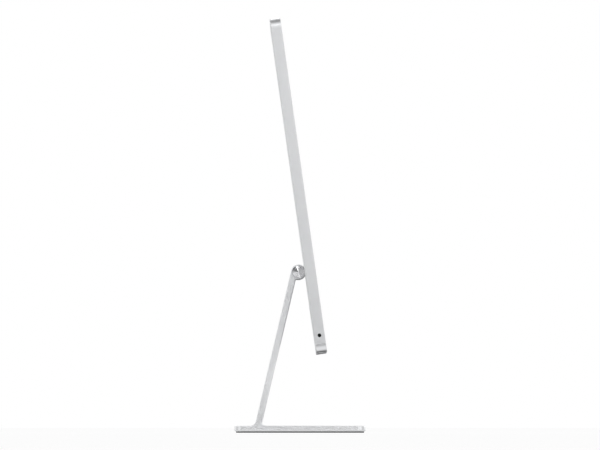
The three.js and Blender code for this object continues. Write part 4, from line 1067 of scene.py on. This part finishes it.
def finish_kept_pieces():
    """Each CAD node that still shows takes the finish of its kind."""
    for name, thing in frame["nodes"].items():
        if not thing.hide_render:
            material = next(material for material, *kinds in FINISHES if name.startswith(tuple(kinds)))
            thing.data.materials.clear()
            thing.data.materials.append(material)


# ---- Studio ----

# Brightness of the surroundings, in which 1 shows as white.
BASE_GLOW, WALL_GLOW, SIDE_GLOW = 0.28, 0.15, 0.73
WINDOW_GLOW, WINDOW_MIDDLE = 0.55, 0.55
STRIP_LEAN, STRIP_GLOW = math.radians(12), 3.0
FLAG_SHADE, FRONT_SHARE, BACK_SHARE = 1.0, 1.2, 0.25
# The floor's glow to the surfaces is painted light: FOOT_GLOW, FAR_GLOW and CORNER_GLOW are painted bright
# patches, and RIGHT_SHADE a painted shadow.
FOOT_GLOW, FLOOR_GLOW, FAR_GLOW, CORNER_GLOW, RIGHT_SHADE = 0.76, 0.6, 1.1, 0.55, 0.97
CORNER_OUT = 40 * MM
FLOOR_HALF = 60  # metres
CAMERA_UP = 7.7 * MM
LENS_LENGTH, SENSOR = 1250, 36  # millimetres


def white_world():
    """Plain white to the camera. To the surfaces it is a studio whose brightness goes by the turn about x,
    and falls off towards straight overhead. Out to the sides there are a bright narrow strip that leans
    back, a dark flag on each side of it, and a window in front and behind. `turn` is the sine of the turn
    away from the strip, and `facing` is how far a direction points out to a side."""
    world = bpy.data.worlds.new("white studio")
    bpy.context.scene.world = world
    tree = bare_tree(world)
    way = node(tree, "TexCoord", {}, "Generated")
    facing = node(tree, "Math", {0: node(tree, "SeparateXYZ", {"Vector": way}, "X")}, operation="ABSOLUTE")
    leant = node(tree, "VectorRotate", {"Vector": way, "Angle": STRIP_LEAN}, rotation_type="X_AXIS")
    flat = node(tree, "VectorMath", {0: leant, 1: (0, 1, 1)}, operation="MULTIPLY")
    about_x = node(tree, "VectorMath", {0: flat}, operation="NORMALIZE")
    turn = node(tree, "SeparateXYZ", {"Vector": about_x}, "Y")
    away = node(tree, "Math", {0: turn}, operation="ABSOLUTE")
    from_window = node(tree, "Math", {0: facing, 1: WINDOW_MIDDLE}, operation="SUBTRACT")
    from_window = node(tree, "Math", {0: from_window}, operation="ABSOLUTE")
    strip, front, back, out, walls, windows, ring = [
        node(tree, "MapRange", {"Value": value, 1: start, 2: end, 3: first, 4: last})
        for value, start, end, first, last in (
            (away, 0.08, 0.2, STRIP_GLOW, -FLAG_SHADE),
            (turn, -0.7, -0.4, FRONT_SHARE * FLAG_SHADE, 0),
            (turn, 0.75, 0.98, 0, BACK_SHARE * FLAG_SHADE),
            (facing, 0.78, 0.88, 0, 1),
            (away, 0.6, 0.95, 0, 1),
            (from_window, 0.08, 0.25, WINDOW_GLOW, WALL_GLOW),
            (facing, 0.12, 0.58, BASE_GLOW, BASE_GLOW + SIDE_GLOW),
        )
    ]
    flags = node(tree, "Math", {0: front, 1: back}, operation="ADD")
    sides = node(tree, "Math", {0: strip, 1: flags}, operation="ADD")
    sides = node(tree, "Math", {0: sides, 1: out}, operation="MULTIPLY")
    walls = node(tree, "Math", {0: walls, 1: windows}, operation="MULTIPLY")
    glow = node(tree, "Math", {0: sides, 1: walls}, operation="ADD")
    glow = node(tree, "Math", {0: glow, 1: ring}, operation="ADD")
    white = linear("#ffffff")
    studio = node(tree, "Background", {"Color": white, "Strength": glow})
    plain = node(tree, "Background", {"Color": white, "Strength": 1.0})
    seen = node(tree, "LightPath", {}, "Is Camera Ray")
    node(tree, "OutputWorld", {"Surface": node(tree, "MixShader", {0: seen, 1: studio, 2: plain})})


def paper_floor():
    """A sweep of pale paper: white to the camera but for a soft shadow. To the surfaces above it glows with
    painted light, brighter far off, beside the foot and out beyond the display's corners, and with a painted
    shadow along y = 0 for the display's own shade."""
    material = bpy.data.materials.new("pale studio paper")
    tree = bare_tree(material)
    place = node(tree, "TexCoord", {}, "Object")
    fibre = node(tree, "TexNoise", {"Vector": place, "Scale": per(300), "Detail": 2.0})
    right = node(tree, "SeparateXYZ", {"Vector": place}, "X")
    size = node(tree, "VectorMath", {0: place}, operation="ABSOLUTE")
    x, y = [node(tree, "SeparateXYZ", {"Vector": size}, axis) for axis in "XY"]
    from_corner = node(tree, "Math", {0: x, 1: DISPLAY_W / 2 + CORNER_OUT}, operation="SUBTRACT")
    from_corner = node(tree, "Math", {0: from_corner}, operation="ABSOLUTE")
    # Masks for the painted light and the painted shadow in the glow that the surfaces see
    near, far, corner, past_foot, under, past_side, ending, right_painted_shade, line, paper = [
        node(tree, "MapRange", {"Value": value, 1: start, 2: end, 3: first, 4: last})
        for value, start, end, first, last in (
            (x, 0.1, 0.15, FOOT_GLOW, FLOOR_GLOW),
            (x, 0.6, 1.4, 0, FAR_GLOW - FLOOR_GLOW),
            (from_corner, 0.04, 0.18, CORNER_GLOW, 0),
            (x, 0.1, 0.15, 0, 1),
            (x, 0.22, 0.27, 1, 0),
            (x, 0.45, 0.6, 0, 1),
            (x, 0.75, 0.95, 1, 0),
            (right, 0.12, 0.2, 0, RIGHT_SHADE),
            (y, 0.05, 0.13, 1, 0),
            (fibre, 0, 1, 0.83, 0.84),
        )
    ]
    # painted light: brighter beside the foot, far off and beyond the display's corners
    light = node(tree, "Math", {0: near, 1: far}, operation="ADD")
    light = node(tree, "Math", {0: light, 1: corner}, operation="ADD")
    # painted shadow: bands along y = 0, and the whole right side, darken the glow in place of the display's
    # own shade
    inner = node(tree, "Math", {0: past_foot, 1: under}, operation="MULTIPLY")
    outer = node(tree, "Math", {0: past_side, 1: ending}, operation="MULTIPLY")
    shade = node(tree, "Math", {0: inner, 1: outer}, operation="MAXIMUM")
    shade = node(tree, "Math", {0: shade, 1: right_painted_shade}, operation="MAXIMUM")
    shade = node(tree, "Math", {0: shade, 1: line}, operation="MULTIPLY")
    unshaded = node(tree, "Math", {0: 1.0, 1: shade}, operation="SUBTRACT")
    glow = node(tree, "Math", {0: light, 1: unshaded}, operation="MULTIPLY")
    # The glow with its painted light and painted shadow, seen by the surfaces and not by the camera
    low = node(tree, "Emission", {"Strength": glow})
    bright = node(tree, "Emission", {"Strength": paper})
    soft = node(tree, "BsdfDiffuse", {"Color": linear("#767676")})
    top = node(tree, "AddShader", {0: bright, 1: soft})
    seen = node(tree, "LightPath", {}, "Is Camera Ray")
    node(tree, "OutputMaterial", {"Surface": node(tree, "MixShader", {0: seen, 1: low, 2: top})})
    h = FLOOR_HALF
    mesh = bpy.data.meshes.new("floor")
    mesh.from_pydata([(h, h, 0), (-h, h, 0), (-h, -h, 0), (h, -h, 0)], [], [range(4)])
    mesh.materials.append(material)
    floor = bpy.data.objects.new("floor", mesh)
    bpy.context.scene.collection.objects.link(floor)


def soft_box(name, place, aim, width, height, watts):
    """A soft rectangular light that shows in reflections and not to the camera."""
    light = bpy.data.lights.new(name, "AREA")
    light.shape, light.size, light.size_y, light.energy = "RECTANGLE", width, height, watts
    thing = bpy.data.objects.new(name, light)
    put_and_aim(thing, place, aim)
    thing.visible_camera = False


def put_and_aim(thing, place, aim):
    """Puts a light or a camera at a place, looking at the aim."""
    thing.location = place
    thing.rotation_mode = "QUATERNION"
    thing.rotation_quaternion = (Vector(aim) - Vector(place)).to_track_quat("-Z", "Y")
    bpy.context.scene.collection.objects.link(thing)


def camera():
    """A very long lens square to the left side and low down, so that the side view is all but free of
    perspective and just shows the undersides."""
    data = bpy.data.cameras.new("camera")
    data.lens, data.sensor_width = LENS_LENGTH, SENSOR
    data.clip_start, data.clip_end = 1, 80
    width, target = 668.8 * MM, Vector((-190 * MM, 0.1 * MM, 231.6 * MM))
    thing = bpy.data.objects.new("camera", data)
    put_and_aim(thing, (target.x - width * data.lens / data.sensor_width, target.y, CAMERA_UP), target)
    bpy.context.scene.camera = thing
    bpy.context.scene.view_settings.view_transform = "Standard"


housing()
vent_cloths()
front_glass()
stand()
foot_pad()
end_caps()
usb_ports()
power_socket()
power_key()
headphone_socket()
finish_kept_pieces()
white_world()
paper_floor()
for side, name in ((-1, "left"), (1, "right")):
    soft_box(f"{name} light", (side * 0.95, 0.05, 0.95), (side * 0.27, 0, 0.4), 0.5, 0.3, 0.35)
for side, name in ((-1, "front"), (1, "back")):
    soft_box(f"{name} light", (0, side * 1.8, 1.5), (0, 0, 0.25), 1.4, 0.7, 3.5)
camera()

bpy.context.view_layer.update()
